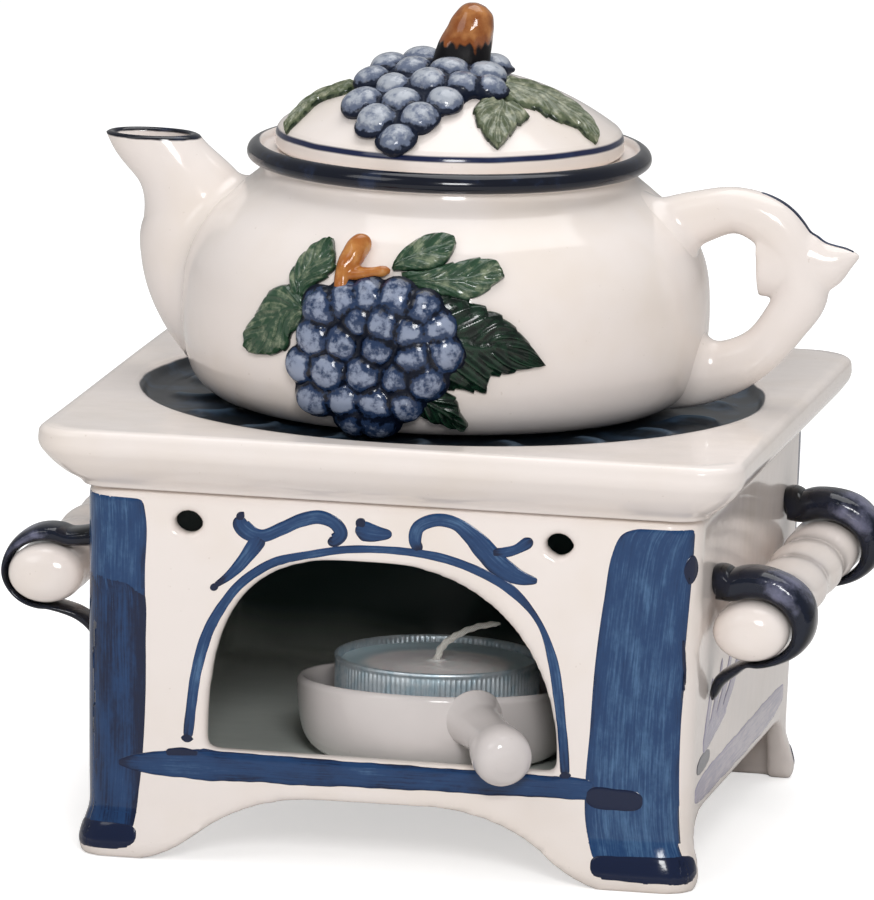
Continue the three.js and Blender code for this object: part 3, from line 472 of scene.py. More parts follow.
CREAM = srgb(240, 231, 226)
CREAM_CLOUD = srgb(233, 221, 210)
PINHOLE = srgb(170, 150, 128)
NAVY = srgb(6, 12, 28)
NAVY_THIN = srgb(46, 62, 96)
LID_LINE = srgb(22, 32, 68)
# Inside the firebox: pale green-grey at the floor, and the dark green-grey of painted shade up its
# walls
FIREBOX = srgb(226, 232, 226)
FIREBOX_SHADE = srgb(58, 76, 76)
WELL_NAVY = srgb(8, 20, 30)
WELL_SLATE = srgb(44, 66, 88)
WELL_CREST = srgb(86, 110, 132)
DISH_WHITE = srgb(218, 211, 209)
DISH_CLOUD = srgb(206, 200, 198)
WHITE_LIGHT = (1.0, 1.0, 1.0, 1.0)


# Shared finishes

FLOAT, COLOUR, VECTOR = "NodeSocketFloat", "NodeSocketColor", "NodeSocketVector"


def new_group(name, inputs):
    """An empty node group and its inputs, which are rows of [name, kind, value]."""
    group = bpy.data.node_groups.new(name, "ShaderNodeTree")
    for key, kind, value in inputs:
        made = group.interface.new_socket(name=key, in_out="INPUT", socket_type=kind)
        if value is not None:
            made.default_value = value
    return group, group.nodes.new("NodeGroupInput").outputs


def put_out(group, results):
    """Gives a group its outputs, which are rows of [name, kind, what feeds it]."""
    for key, kind, source in results:
        group.interface.new_socket(name=key, in_out="OUTPUT", socket_type=kind)
    ends = group.nodes.new("NodeGroupOutput")
    for key, kind, source in results:
        group.links.new(source, ends.inputs[key])
    return group


def glaze_group():
    """Glossy glaze over clay: cloudy colour, small dark pinholes, a height and a roughness."""
    group, given = new_group(
        "glaze_surface",
        [("Place", VECTOR, None), ("Colour", COLOUR, None), ("Cloud", COLOUR, None),
         ("Cloudiness", FLOAT, 0.5), ("Gloss roughness", FLOAT, 0.1)])
    place = given["Place"]
    cloud = between(group, noise(group, place, 0.045, 3.0, 0.55), 0.38, 0.72)
    cloud = product(group, cloud, given["Cloudiness"])
    tone = blend(group, cloud, given["Colour"], given["Cloud"])
    speck = between(group, noise(group, place, 1.1, 1.0, 0.4), 0.76, 0.82)
    tone = blend(group, product(group, speck, 0.18), tone, PINHOLE)
    slow = noise(group, place, 0.07)
    fine = noise(group, place, 0.55)
    height = calc(group, "MULTIPLY_ADD", fine, 0.06, slow)
    smear = noise(group, place, 0.2, 2.0, 0.6)
    rough = calc(group, "MULTIPLY_ADD", smear, 0.05, given["Gloss roughness"])
    return put_out(group, [("Colour", COLOUR, tone), ("Height", FLOAT, height),
                           ("Roughness", FLOAT, rough)])


def brush_group():
    """Brushed cobalt on clay: fine streaks along the stroke, pools at its edges and dry gaps."""
    group, given = new_group(
        "brush_marks",
        [("Stroke", VECTOR, None), ("Load", FLOAT, 0.5), ("Deep", COLOUR, None),
         ("Mid", COLOUR, None), ("Thin", COLOUR, None)])
    stroke = given["Stroke"]
    hairs = noise(group, stroke, 1.0, 3.0, 0.65, (0.09, 2.6, 1.0))
    washes = noise(group, stroke, 1.0, 2.0, 0.5, (0.12, 0.35, 1.0))
    dabs = noise(group, stroke, 1.0, 3.0, 0.6, (0.9, 1.4, 1.0))
    streak = calc(group, "MULTIPLY_ADD", hairs, 0.55, product(group, washes, 0.45))
    streak = calc(group, "MULTIPLY_ADD", dabs, 0.16, streak)
    paint = calc(group, "SUBTRACT", streak, product(group, given["Load"], 0.42))
    tone = blend(group, between(group, paint, 0.08, 0.38), given["Deep"], given["Mid"])
    tone = blend(group, between(group, paint, 0.37, 0.68), tone, given["Thin"])
    return put_out(group, [("Colour", COLOUR, tone), ("Height", FLOAT, streak)])


def broken_group():
    """Coloured glaze that breaks pale on raised places and pools dark in hollows."""
    group, given = new_group(
        "broken_glaze",
        [("Place", VECTOR, None), ("Raised", FLOAT, 0.5), ("Grain", FLOAT, 0.5),
         ("Mottle", FLOAT, 0.9), ("Pool", COLOUR, None), ("Body", COLOUR, None),
         ("Break", COLOUR, None)])
    mottle = noise(group, given["Place"], given["Grain"], 4.0, 0.62)
    uneven = calc(group, "SUBTRACT", mottle, 0.5)
    level = calc(group, "MULTIPLY_ADD", uneven, given["Mottle"], given["Raised"])
    tone = blend(group, between(group, level, 0.06, 0.38), given["Pool"], given["Body"])
    tone = blend(group, between(group, level, 0.5, 0.95), tone, given["Break"])
    return put_out(group, [("Colour", COLOUR, tone), ("Height", FLOAT, mottle)])


GLAZE = glaze_group()
BRUSH = brush_group()
BROKEN = broken_group()
COAT_WEIGHT = 0.12


def new_material(name):
    """An empty material with its principled shader, and its place in millimetres."""
    material = bpy.data.materials.new(name)
    material.use_nodes = True
    tree = material.node_tree
    coords = tree.nodes.new("ShaderNodeTexCoord").outputs["Object"]
    place = node(tree, "ShaderNodeVectorMath", {0: coords, 1: (1 / MM,) * 3}, operation="MULTIPLY")
    return material, tree, tree.nodes["Principled BSDF"], place.outputs[0]


def colour_is(tree, shader, colour):
    """Feeds a colour to the shader."""
    tree.links.new(colour, shader.inputs["Base Color"])


def plain(shader, values):
    """Sets numbers and colours that are the same all over the surface."""
    for key, value in values.items():
        shader.inputs[key].default_value = value


def bump(tree, shader, height, strength, distance):
    """Feeds a height to the shader's normal."""
    made = node(tree, "ShaderNodeBump",
                {"Height": height, "Strength": strength, "Distance": distance * MM})
    tree.links.new(made.outputs["Normal"], shader.inputs["Normal"])


def coat(shader):
    """The clear glass of the glaze over its colour."""
    plain(shader, {"Coat Weight": COAT_WEIGHT, "Coat Roughness": 0.03, "IOR": 1.42})


def hold_back(tree, shader, share, weight):
    """Takes the shine off hollows, where a share is low: less coat, and a duller surface."""
    tree.links.new(product(tree, share, weight), shader.inputs["Coat Weight"])
    socket = shader.inputs["Roughness"]
    rough = socket.links[0].from_socket if socket.is_linked else socket.default_value
    tree.links.new(calc(tree, "MULTIPLY_ADD", rest_of(tree, share), 0.4, rough), socket)


def glaze_on(tree, shader, place, cloudiness=0.5, colour=CREAM, cloud=CREAM_CLOUD, rough=0.1):
    """Puts the shared glaze in a material and returns its colour for paint to go over."""
    made = node(tree, "ShaderNodeGroup",
                {"Place": place, "Colour": colour, "Cloud": cloud, "Cloudiness": cloudiness,
                 "Gloss roughness": rough}, node_tree=GLAZE)
    tree.links.new(made.outputs["Roughness"], shader.inputs["Roughness"])
    bump(tree, shader, made.outputs["Height"], 0.35, 0.5)
    coat(shader)
    return made.outputs["Colour"]


def navy_over(tree, place, base, mask, navy=NAVY):
    """Navy glaze over a colour where a mask says, thinner in places."""
    thin = between(tree, noise(tree, place, 0.16, 3.0, 0.6), 0.52, 0.78)
    tone = blend(tree, product(tree, thin, 0.55), navy, NAVY_THIN)
    return blend(tree, mask, base, tone)


def group_finish(tree, shader, group, inputs, rough, relief, depth):
    """Puts a shared paint or glaze in a material, with its roughness, its relief and its coat."""
    made = node(tree, "ShaderNodeGroup", inputs, node_tree=group)
    colour_is(tree, shader, made.outputs["Colour"])
    plain(shader, {"Roughness": rough})
    bump(tree, shader, made.outputs["Height"], relief, depth)
    coat(shader)


# The object's materials

def cream_material():
    """The plain cream glaze."""
    material, tree, shader, place = new_material("cream_glaze")
    colour_is(tree, shader, glaze_on(tree, shader, place))
    return material


def stove_material():
    """Cream outside; inside the firebox pale green-grey at the floor, turning dark green-grey up the
    walls as painted shade.
    """
    material, tree, shader, place = new_material("stove_glaze")
    cream = glaze_on(tree, shader, place)
    x, y, z = (axes(tree, place)[n] for n in range(3))
    reach = calc(tree, "MAXIMUM", calc(tree, "ABSOLUTE", x), calc(tree, "ABSOLUTE", y))
    inside = rest_of(tree, between(tree, reach, INNER_HALF + 0.05, INNER_HALF + 0.55))
    inside = product(tree, inside, between(tree, z, FLOOR_TOP - 2.6, FLOOR_TOP - 1.6))
    # Painted shade: the firebox walls darken upwards towards the slab, where little light gets in
    painted_shade = between(tree, wavy(tree, place, z, 9.0, 0.03), FLOOR_TOP - 0.5, FLOOR_TOP + 11.0)
    colour_is(tree, shader, blend(tree, inside, cream, blend(tree, painted_shade, FIREBOX, FIREBOX_SHADE)))
    return material


def slab_material():
    """Cream with a navy well, slate on the gadroons; the well's edge is a hand-turned line."""
    material, tree, shader, place = new_material("slab_glaze")
    cream = glaze_on(tree, shader, place)
    radius = wavy(tree, place, radius_from(tree, place, 0.0, 0.0), 1.6, 0.05)
    height = axes(tree, place)[2]
    well = rest_of(tree, between(tree, radius, WELL_RADIUS - 0.7, WELL_RADIUS - 0.3))
    well = product(tree, well, between(tree, height, WELL_FLOOR - 1.6, WELL_FLOOR - 1.2))
    pool = between(tree, noise(tree, place, 0.13, 3.0, 0.6), 0.46, 0.75)
    navy = blend(tree, pool, WELL_NAVY, WELL_SLATE)
    raised = between(tree, height, WELL_FLOOR + 0.45, WELL_FLOOR + 1.1)
    ring = rest_of(tree, between(tree, radius, WELL_FLOOR_RADIUS, WELL_FLOOR_RADIUS + 0.5))
    navy = blend(tree, product(tree, raised, ring, 0.6), navy, WELL_CREST)
    colour_is(tree, shader, blend(tree, well, cream, navy))
    hold_back(tree, shader, rest_of(tree, product(tree, well, 0.5)), COAT_WEIGHT)
    return material


def pot_material():
    """Cream with a navy rim."""
    material, tree, shader, place = new_material("pot_glaze")
    cream = glaze_on(tree, shader, place, 0.6)
    radius = wavy(tree, place, radius_from(tree, place, POT_AXIS_X, 0.0), 0.9)
    height = wavy(tree, place, axes(tree, place)[2], 0.7)
    rim = product(tree, between(tree, height, NECK_TOP - 0.1, NECK_TOP + 0.25),
                  between(tree, radius, RIM_RADIUS - 2.5, RIM_RADIUS - 2.1))
    colour_is(tree, shader, navy_over(tree, place, cream, rim))
    return material


def spout_material():
    """Cream with a navy lip that runs on inside the mouth."""
    material, tree, shader, place = new_material("spout_glaze")
    cream = glaze_on(tree, shader, place, 0.6)
    height = wavy(tree, place, axes(tree, place)[2], 0.5, 0.2)
    lip = between(tree, height, SPOUT_TOP - 0.85, SPOUT_TOP - 0.5)
    colour_is(tree, shader, navy_over(tree, place, cream, lip))
    return material


def lid_material():
    """Cream with one blue line round its edge."""
    material, tree, shader, place = new_material("lid_glaze")
    cream = glaze_on(tree, shader, place, 0.6)
    height = wavy(tree, place, axes(tree, place)[2], 0.7, 0.05)
    line = strip(tree, height, LID_SHOULDER - 0.7, LID_SHOULDER + 0.36, 0.2)
    radius = radius_from(tree, place, POT_AXIS_X, 0.0)
    line = product(tree, line, between(tree, radius, LID_RADIUS - 2.4, LID_RADIUS - 2.0))
    colour_is(tree, shader, navy_over(tree, place, cream, line, LID_LINE))
    return material


def navy_material():
    """Thick navy glaze that thins to slate on its edges and pools nearly black; slate also on the
    painted sheen of the scrolls' tops.
    """
    material, tree, shader, place = new_material("navy_glaze")
    tones = {"Pool": srgb(4, 7, 14), "Body": srgb(12, 20, 38), "Break": srgb(112, 114, 138)}
    inputs = {"Place": place, "Raised": carried(tree, "raised"), "Grain": 0.28, **tones}
    group_finish(tree, shader, BROKEN, inputs, 0.08, 0.3, 0.5)
    return material


def relief_material(name, grain, mottle, pool, body, pale, rough, relief):
    """A glaze for relief: it takes its raised places from the mesh and is dull in the creases."""
    material, tree, shader, place = new_material(name)
    raised = carried(tree, "raised")
    inputs = {"Place": place, "Raised": raised, "Grain": grain, "Mottle": mottle, "Pool": pool,
              "Body": body, "Break": pale}
    group_finish(tree, shader, BROKEN, inputs, rough, relief, 0.35)
    plain(shader, {"Specular IOR Level": 0.25})
    hold_back(tree, shader, between(tree, raised, -0.05, 0.28), 0.5)
    return material


# Each relief glaze: name, grain, mottle, colours where it pools, lies and breaks, gloss, relief
RELIEF_GLAZES = {
    "grape": ("grape_glaze", 0.5, 1.9, srgb(4, 12, 30), srgb(38, 56, 88), srgb(140, 150, 172),
              0.08, 0.4),
    "pale_grape": ("lid_grape_glaze", 0.6, 1.5, srgb(12, 22, 42), srgb(102, 112, 134),
                   srgb(172, 178, 188), 0.12, 0.4),
    "leaf": ("leaf_glaze", 0.5, 0.9, srgb(4, 18, 12), srgb(22, 50, 34), srgb(112, 122, 92),
             0.12, 0.4),
    "brushed_leaf": ("brushed_leaf_glaze", 0.45, 1.4, srgb(10, 30, 20), srgb(46, 74, 54),
                     srgb(134, 144, 118), 0.12, 0.4),
    "pale_leaf": ("pale_leaf_glaze", 0.5, 1.3, srgb(28, 42, 28), srgb(88, 98, 74),
                  srgb(158, 160, 136), 0.12, 0.4),
    "twig": ("twig_glaze", 0.4, 0.7, srgb(34, 18, 8), srgb(166, 98, 42), srgb(206, 148, 84),
             0.1, 0.35),
    "knob_twig": ("lid_twig_glaze", 0.3, 0.7, srgb(12, 10, 14), srgb(140, 78, 36),
                  srgb(192, 132, 78), 0.08, 0.3),
}


def paint_material(name, deep, mid, thin):
    """Brushed colour that follows its stroke: the UV map is the place along and across it."""
    material, tree, shader, _ = new_material(name)
    inputs = {"Stroke": tree.nodes.new("ShaderNodeUVMap").outputs["UV"],
              "Load": carried(tree, "load"), "Deep": deep, "Mid": mid, "Thin": thin}
    group_finish(tree, shader, BRUSH, inputs, 0.14, 0.12, 0.3)
    return material


def dish_material():
    """A cooler white glaze."""
    material, tree, shader, place = new_material("white_glaze")
    white = glaze_on(tree, shader, place, 0.6, DISH_WHITE, DISH_CLOUD, 0.08)
    colour_is(tree, shader, white)
    return material


def foil_material():
    """Thin pressed metal, dull in patches and bright on its pleats."""
    material, tree, shader, place = new_material("foil")
    dull = between(tree, noise(tree, place, 0.35, 3.0, 0.6), 0.4, 0.7)
    colour_is(tree, shader, blend(tree, dull, srgb(224, 234, 240), srgb(186, 206, 216)))
    plain(shader, {"Metallic": 0.7})
    tree.links.new(calc(tree, "MULTIPLY_ADD", dull, 0.14, 0.34), shader.inputs["Roughness"])
    bump(tree, shader, noise(tree, place, 2.4), 0.25, 0.12)
    return material


def wax_material():
    """Pale wax with cloudy light inside, clearer near the cup."""
    material, tree, shader, place = new_material("wax")
    cloud = between(tree, noise(tree, place, 0.12, 3.0, 0.6), 0.35, 0.7)
    pale = blend(tree, cloud, srgb(255, 250, 248), srgb(246, 238, 240))
    radius = wavy(tree, place, radius_from(tree, place, DISH_X, DISH_Y), 2.0, 0.1)
    clear = between(tree, radius, 0.6 * CANDLE_RADIUS, 0.8 * CANDLE_RADIUS)
    colour_is(tree, shader, blend(tree, clear, pale, srgb(182, 204, 212)))
    plain(shader, {"Roughness": 0.3, "Subsurface Weight": 0.25, "Subsurface Scale": 0.6,
                   "Subsurface Radius": (0.004, 0.003, 0.003)})
    bump(tree, shader, noise(tree, place, 0.3), 0.3, 0.3)
    return material


def cotton_material():
    """Braided cotton: fine turns round the wick, from its UV map."""
    material, tree, shader, _ = new_material("cotton")
    turns = tree.nodes.new("ShaderNodeUVMap").outputs["UV"]
    wave = node(tree, "ShaderNodeTexWave",
                {"Vector": turns, "Scale": 1.2, "Distortion": 1.0, "Detail": 2.0},
                wave_type="BANDS", bands_direction="DIAGONAL").outputs["Fac"]
    colour_is(tree, shader, blend(tree, wave, srgb(214, 210, 200), srgb(246, 244, 238)))
    plain(shader, {"Roughness": 0.75})
    bump(tree, shader, wave, 0.5, 0.15)
    return material


# The turned forms of the pot and the lid

def pot_side(count):
    """The pot's outer line from its foot to its neck, [radius, height above its base]."""
    tall, wide = POT_NECK_HEIGHT, POT_RADIUS
    return curve([
        [POT_FOOT_RADIUS, 0.3],
        [0.86 * wide, 0.026 * tall],
        [0.945 * wide, 0.1 * tall],
        [0.988 * wide, 0.24 * tall],
        [wide, 0.44 * tall],
        [0.978 * wide, 0.62 * tall],
        [0.9 * wide, 0.78 * tall],
        [0.785 * wide, 0.895 * tall],
        [POT_NECK_RADIUS + 0.6, 0.965 * tall],
        [POT_NECK_RADIUS, tall],
    ], count)


POT_SIDE = pot_side(240)


def pot_radius(height):
    """The pot's outer radius at a height, read off its side line."""
    return np.interp(height - POT_BASE, POT_SIDE[:, 1], POT_SIDE[:, 0])


def on_pot(along, height, lift):
    """Points off the pot: the arc length from the front at belly size, the height, and the
    distance off the surface along its normal."""
    radius = pot_radius(height)
    slope = pot_radius(height + 0.5) - pot_radius(height - 0.5)
    angle = along / POT_RADIUS
    tilt = np.hypot(1, slope)
    out = radius + lift / tilt
    return np.stack([POT_AXIS_X + out * np.sin(angle), -out * np.cos(angle),
                     height - lift * slope / tilt], -1)


def lid_height(radius):
    """The lid's dome: its rise times 1 minus the 2.2th power of the radius' share."""
    return LID_SHOULDER + 0.4 + LID_RISE * (1 - np.minimum(radius / LID_RADIUS, 1) ** 2.2)


def on_lid(across, deep, lift):
    """Points off the lid above plan places measured from its axis."""
    radius = np.maximum(np.hypot(across, deep), 0.01)
    slope = (lid_height(radius + 0.3) - lid_height(np.maximum(radius - 0.3, 0))) / 0.6
    tilt = np.hypot(1, slope)
    out = 1 - slope * lift / tilt / radius
    return np.stack([POT_AXIS_X + across * out, deep * out, lid_height(radius) + lift / tilt], -1)


# Stove

def stove_body():
    """The stove's box with evenly softened edges, and a slow unevenness of the cast clay."""
    piece = soften(model_copy("stove_body", "stove_body_glazed"), voxel=1.0, passes=5)
    points = points_of(piece.data)
    uneven = 0.12 * ripple(points, 14.0)[:, None] * normals_of(piece.data)
    move_points(piece.data, points + uneven)
    return dress(piece, "stove", "stove", ["stove_body"])


def square_reach(angle, half, corner):
    """Distance from the middle to the edge of a round-cornered square in each direction: the
    straight side's half / cosine, or the far root of the corner circle's equation."""
    cosine, sine = np.abs(np.cos(angle)), np.abs(np.sin(angle))
    major, minor = np.maximum(cosine, sine), np.minimum(cosine, sine)
    straight = half / major
    middle = half - corner
    along = middle * (cosine + sine)
    round_part = along + np.sqrt(np.maximum(along ** 2 - 2 * middle ** 2 + corner ** 2, 0))
    return np.where(straight * minor <= middle, straight, round_part)


def gadroon_rise(angle, radius):
    """Low slanting crests round the well: a bell curve across each, fading in and out along it."""
    share = (radius - (WELL_FLOOR_RADIUS - 14)) / 13
    swirl = GADROON_TWIST * np.sin(np.pi * np.clip(share, 0, 1))
    place = (angle - swirl) * GADROONS / (2 * np.pi)
    off = np.abs(place - np.floor(place) - 0.5)
    crest = GADROON_RISE * np.exp(-(off / GADROON_HALF_WIDTH) ** 2)
    return crest * ease(share, 0, 0.3) * (1 - ease(share, 0.75, 1))


def slab_top_rings(angle):
    """The slab's rings up the flue, over the well and out to the brim, as radius and height."""
    rings = [(FLUE_RADIUS, height)
             for height in np.linspace(CEILING + 0.6, WELL_FLOOR - FLUE_ROUND, 4)]
    for turn in np.linspace(0.25, 1, 4) * np.pi / 2:
        rings.append((FLUE_RADIUS + FLUE_ROUND * (1 - np.cos(turn)),
                      WELL_FLOOR - FLUE_ROUND + FLUE_ROUND * np.sin(turn)))
    for radius in np.linspace(FLUE_RADIUS + 3, WELL_FLOOR_RADIUS - 16, 6):
        rings.append((radius, WELL_FLOOR))
    for radius in np.linspace(WELL_FLOOR_RADIUS - 15, WELL_FLOOR_RADIUS - 0.4, 34):
        rings.append((radius, WELL_FLOOR + gadroon_rise(angle, radius)))
    rings += list(curve([
        [WELL_FLOOR_RADIUS, WELL_FLOOR + 0.05],
        [WELL_FLOOR_RADIUS + 2.1, WELL_FLOOR + 0.55],
        [WELL_RADIUS - 0.9, SLAB_TOP - 0.7],
        [WELL_RADIUS + 0.1, SLAB_TOP - 0.1],
        [WELL_BRIM, SLAB_TOP],
    ], 16))
    edge = square_reach(angle, SLAB_HALF - SLAB_SHOULDER, SLAB_CORNER - 1.0)
    return rings + [(WELL_BRIM + (edge - WELL_BRIM) * share, SLAB_TOP)
                    for share in np.linspace(0.06, 1, 14)]


def slab_edge_rings(angle):
    """The moulded edge: a rounded top, a flat land and a cove, as insets from the square."""
    cove = SLAB_THICKNESS - SLAB_LAND
    overhang = SLAB_HALF - STOVE_HALF - 0.8
    edge = curve([
        [SLAB_SHOULDER, SLAB_THICKNESS],
        [0.75, SLAB_THICKNESS - 0.28],
        [0.15, SLAB_THICKNESS - 1.05],
        [0.0, SLAB_THICKNESS - 2.2],
        [0.0, cove + 0.9],
        [0.35, cove - 0.2],
        [1.1, 0.82 * cove],
        [2.4, 0.6 * cove],
        [4.6, 0.32 * cove],
        [overhang - 0.7, 0.12 * cove],
        [overhang, 0.0],
    ], 44)[1:]
    return [(square_reach(angle, SLAB_HALF - inset, SLAB_CORNER - 0.3 * inset), SLAB_BASE + height)
            for inset, height in edge]


def slab_under_rings(angle):
    """The underside: a step up inside the stove's walls, then level back to the flue."""
    steps = [(2, SLAB_BASE), (0, SLAB_BASE + 0.4), (-1, SLAB_BASE + 2.5), (-3, CEILING - 0.4),
             (-5, CEILING)]
    rings = [(square_reach(angle, INNER_HALF + out, UNDER_CORNER), height) for out, height in steps]
    outer = rings[-1][0]
    return rings + [(outer + (FLUE_RADIUS + 0.6 - outer) * share, CEILING)
                    for share in np.linspace(0.2, 1, 5)]


def slab():
    """The top slab as rings from the flue out over the well, down the moulded edge and back in
    underneath. A ring's radius turns from a circle into the square's reach."""
    angle = circle(720)
    rings = slab_top_rings(angle) + slab_edge_rings(angle) + slab_under_rings(angle)
    radius = np.array([ring[0] + 0 * angle for ring in rings])
    height = np.array([ring[1] + 0 * angle for ring in rings])
    grid = np.stack([radius * np.cos(angle), radius * np.sin(angle), height], -1)
    grid[..., 2] += ease(height, SLAB_TOP - 2.0, SLAB_TOP) * (0.1 * ripple(grid, 19.0, 3.0) - 0.1)
    return add_piece("slab_glazed", closed_shell(grid, wrap_rows=True), "slab", "stove",
                     ["stove_top"])


def rail(side_name, side):
    """A turned rail laid along Y: domed ends, and low soft swellings between the brackets."""
    ends = curve([[0.05, 0], [3.1, 0.35], [5.3, 1.7], [RAIL_RADIUS, 4.2], [RAIL_RADIUS, 7.0]], 26)
    middle = np.linspace(7.0, 2 * RAIL_HALF_LENGTH - 7.0, 120)[1:-1]
    span = 2 * SCROLL_PLACE - SCROLL_WIDTH
    share = (middle - RAIL_HALF_LENGTH) / span
    swell = 0.35 * (np.cos(2 * np.pi * 4 * share) - 1) * (1 - ease(np.abs(share), 0.4, 0.5))
    body = np.stack([RAIL_RADIUS + swell, middle], -1)
    far = np.stack([ends[::-1, 0], 2 * RAIL_HALF_LENGTH - ends[::-1, 1]], -1)
    grid = turned(np.vstack([ends, body, far]), 96)
    lying = np.stack([RAIL_OVAL * grid[..., 0], grid[..., 2] - RAIL_HALF_LENGTH,
                      grid[..., 1] / RAIL_OVAL], -1)
    shell = closed_shell(beside_wall(lying, side_name, side))
    return add_piece(f"rail_{side_name}_glazed", shell, "cream", "stove",
                     [f"rail_{side_name}"])


def beside_wall(points, side_name, side):
    """Turns a rail's own places into the stove's: a small tilt about X, then out to the wall."""
    tilt = np.radians(RAIL_TILT[side_name])
    x, y, z = np.moveaxis(points, -1, 0)
    if side < 0:
        x, y = -x, -y
    turned_y = y * np.cos(tilt) - z * np.sin(tilt)
    turned_z = y * np.sin(tilt) + z * np.cos(tilt)
    height = RAIL_HEIGHT[side_name]
    wall = STOVE_HALF - STOVE_TAPER * (1 - height / STOVE_HEIGHT)
    return np.stack([side * (wall + RAIL_OUT[side_name]) + x, turned_y, height + turned_z], -1)


def scroll(side_name, side, end, end_name):
    """A navy band from the wall over the rail and back under it, thinning to a curled tail."""
    out, thick = RAIL_OUT[side_name], SCROLL_BAND[side_name]
    low, high = SCROLL_THINS[side_name]
    beside = RAIL_RADIUS * RAIL_OVAL + GAP
    above = RAIL_RADIUS / RAIL_OVAL + GAP
    wide = 0.5 * SCROLL_WIDTH
    rows = [[-out + 0.1, 0, above + 0.42 * thick, 0.4 * thick, 0.62 * wide],
            [-out + 1.2, 0, above + 0.45 * thick, 0.56 * thick, 0.88 * wide]]
    for degrees in range(115, -96, -15):
        band = SCROLL_UNDER + (thick - SCROLL_UNDER) * ease(degrees, low, high)
        angle = np.radians(degrees)
        rows.append([(beside + 0.5 * band) * np.cos(angle), 0,
                     (above + 0.5 * band) * np.sin(angle), 0.5 * band, wide])
    fall = 0.5 * (above + SCROLL_TAIL_DROP)
    rows += [[-out + 4.6, 0, -0.5 * (above + fall), 0.75 * SCROLL_UNDER, 0.8 * wide],
             [-out + 2.0, 0, -fall, 0.85 * SCROLL_UNDER, 0.66 * wide],
             [-out + 0.7, 0, -SCROLL_TAIL_DROP + 1.4, 0.6 * SCROLL_UNDER, 0.45 * wide],
             [-out + 0.3, 0, -SCROLL_TAIL_DROP + 0.1, 0.2, 0.6]]
    grid = swept(rows, SIDEWAYS, 56, 150, 2.7)
    around = circle(56)
    edge = np.abs(np.sin(around)) ** 6 * 0.35 + np.maximum(np.cos(around), 0) ** 3 * 0.35
    grid = grid + 0.12 * ripple(grid, 1.9, end)[..., None] * np.array([1.0, 1.0, 0.6])
    place = beside_wall(grid + SIDEWAYS * end * side * SCROLL_PLACE, side_name, side)
    along = np.linspace(0, 1, len(grid))[:, None]
    # Painted sheen: a pale slate patch on the upper side of the band near its top, carried in raised
    upper = np.maximum(-np.cos(around), 0) ** 2 + 0.7 * np.abs(np.sin(around)) ** 4
    painted_top_sheen = 0.75 * np.exp(-((along - 0.3) / 0.12) ** 2) * upper
    raised = np.append(0.12 + 0.5 * edge + painted_top_sheen, [0.2, 0.2])
    node_name = f"scroll_{side_name}_{end_name}"
    return add_piece(f"{node_name}_glazed", closed_shell(place), "navy", "stove",
                     [node_name], values={"raised": raised})


# Teapot

# Stations are [x from the pot's axis, height above its base, half depth, half width]
SPOUT = [
    [-33, 7.4, 10, 9.5],
    [-39.5, 13.8, 12.2, 12],
    [-43.4, 21.2, 13.2, 11.6],
    [-46.2, 28.6, 12.4, 10],
    [-48.5, 35.4, 10, 8],
    [-52.3, 41.6, 7.3, 6.5],
    [-57.1, 47.3, 7.4, 6],
    [-58.6, 49.8, 7.8, 6],
]
HANDLE = [
    [38, 33, 6.4, 4.8],
    [46.8, 36.9, 5, 4.1],
    [54.5, 38.7, 4.3, 3.8],
    [61.3, 36.1, 4.8, 3.9],
    [65.8, 30, 4.6, 3.9],
    [66.9, 24, 4.9, 4],
    [63.8, 18.2, 4.4, 3.9],
    [59.6, 13, 4.3, 3.8],
    [53.6, 9.3, 5.1, 4.1],
    [46.5, 7.6, 6.1, 4.6],
    [39.5, 7.4, 6.4, 4.8],
]
SPUR = [
    [58.5, 29.5, 6.6, 3.6],
    [64.2, 29.7, 6.6, 3.6],
    [70.7, 29.4, 5.0, 3.2],
    [75, 30.8, 2.3, 2],
    [77.4, 31.5, 0.45, 0.6],
]
SPOUT_TOP = POT_BASE + SPOUT[-2][1]
SPOUT_WALL = 1.5
SPOUT_JOIN = 3.4
HANDLE_JOIN = 3.2


def pot_rows(stations):
    """Rows in space from stations."""
    return [[POT_AXIS_X + x, 0, POT_BASE + height, deep, wide] for x, height, deep, wide in stations]


def off_pot(points):
    """How far outside the pot's wall each point lies, measured level."""
    reach = np.hypot(points[..., 0] - POT_AXIS_X, points[..., 1])
    return reach - pot_radius(points[..., 2])


def read_rows(grid, rows):
    """The grid's rings read at fractional row numbers, one for each column, by straight lines."""
    rows = np.clip(rows, 0, len(grid) - 1.001)
    low = rows.astype(int)
    share = (rows - low)[..., None]
    column = np.broadcast_to(np.arange(grid.shape[1]), rows.shape)
    return grid[low, column] * (1 - share) + grid[low + 1, column] * share


def crossing(values, from_end=False):
    """The fractional row where each column first rises through zero, from the start or the end."""
    signs = values > 0
    if from_end:
        signs, values = signs[::-1], values[::-1]
    first = np.argmax(signs, axis=0)
    before = np.maximum(first - 1, 0)
    column = np.arange(values.shape[1])
    a, b = values[before, column], values[first, column]
    row = before + np.where(first > 0, -a / np.where(b - a == 0, 1, b - a), 0)
    return len(values) - 1 - row if from_end else row


def joined(whole, centre, picked, radius, sunk):
    """A limb's rings read at the picked rows, with clay smoothed into its join with the pot: where
    a point is nearer to the wall than the radius it moves out from the limb's own middle by a
    quarter circle, and keeps its distance."""
    grid = read_rows(whole, picked)
    centre = read_rows(np.broadcast_to(centre, whole.shape), picked)
    gap = off_pot(grid)
    near = np.clip(1 - gap / radius, 0, 1)
    push = radius * (1 - np.sqrt(1 - near ** 2))
    moved = grid + unit(grid - centre) * push[..., None]
    reach = np.hypot(moved[..., 0] - POT_AXIS_X, moved[..., 1])
    wanted = pot_radius(moved[..., 2]) + gap - sunk * near
    scale = np.where(near > 0, wanted / reach, 1.0)
    moved[..., 0] = POT_AXIS_X + (moved[..., 0] - POT_AXIS_X) * scale
    moved[..., 1] = moved[..., 1] * scale
    return moved


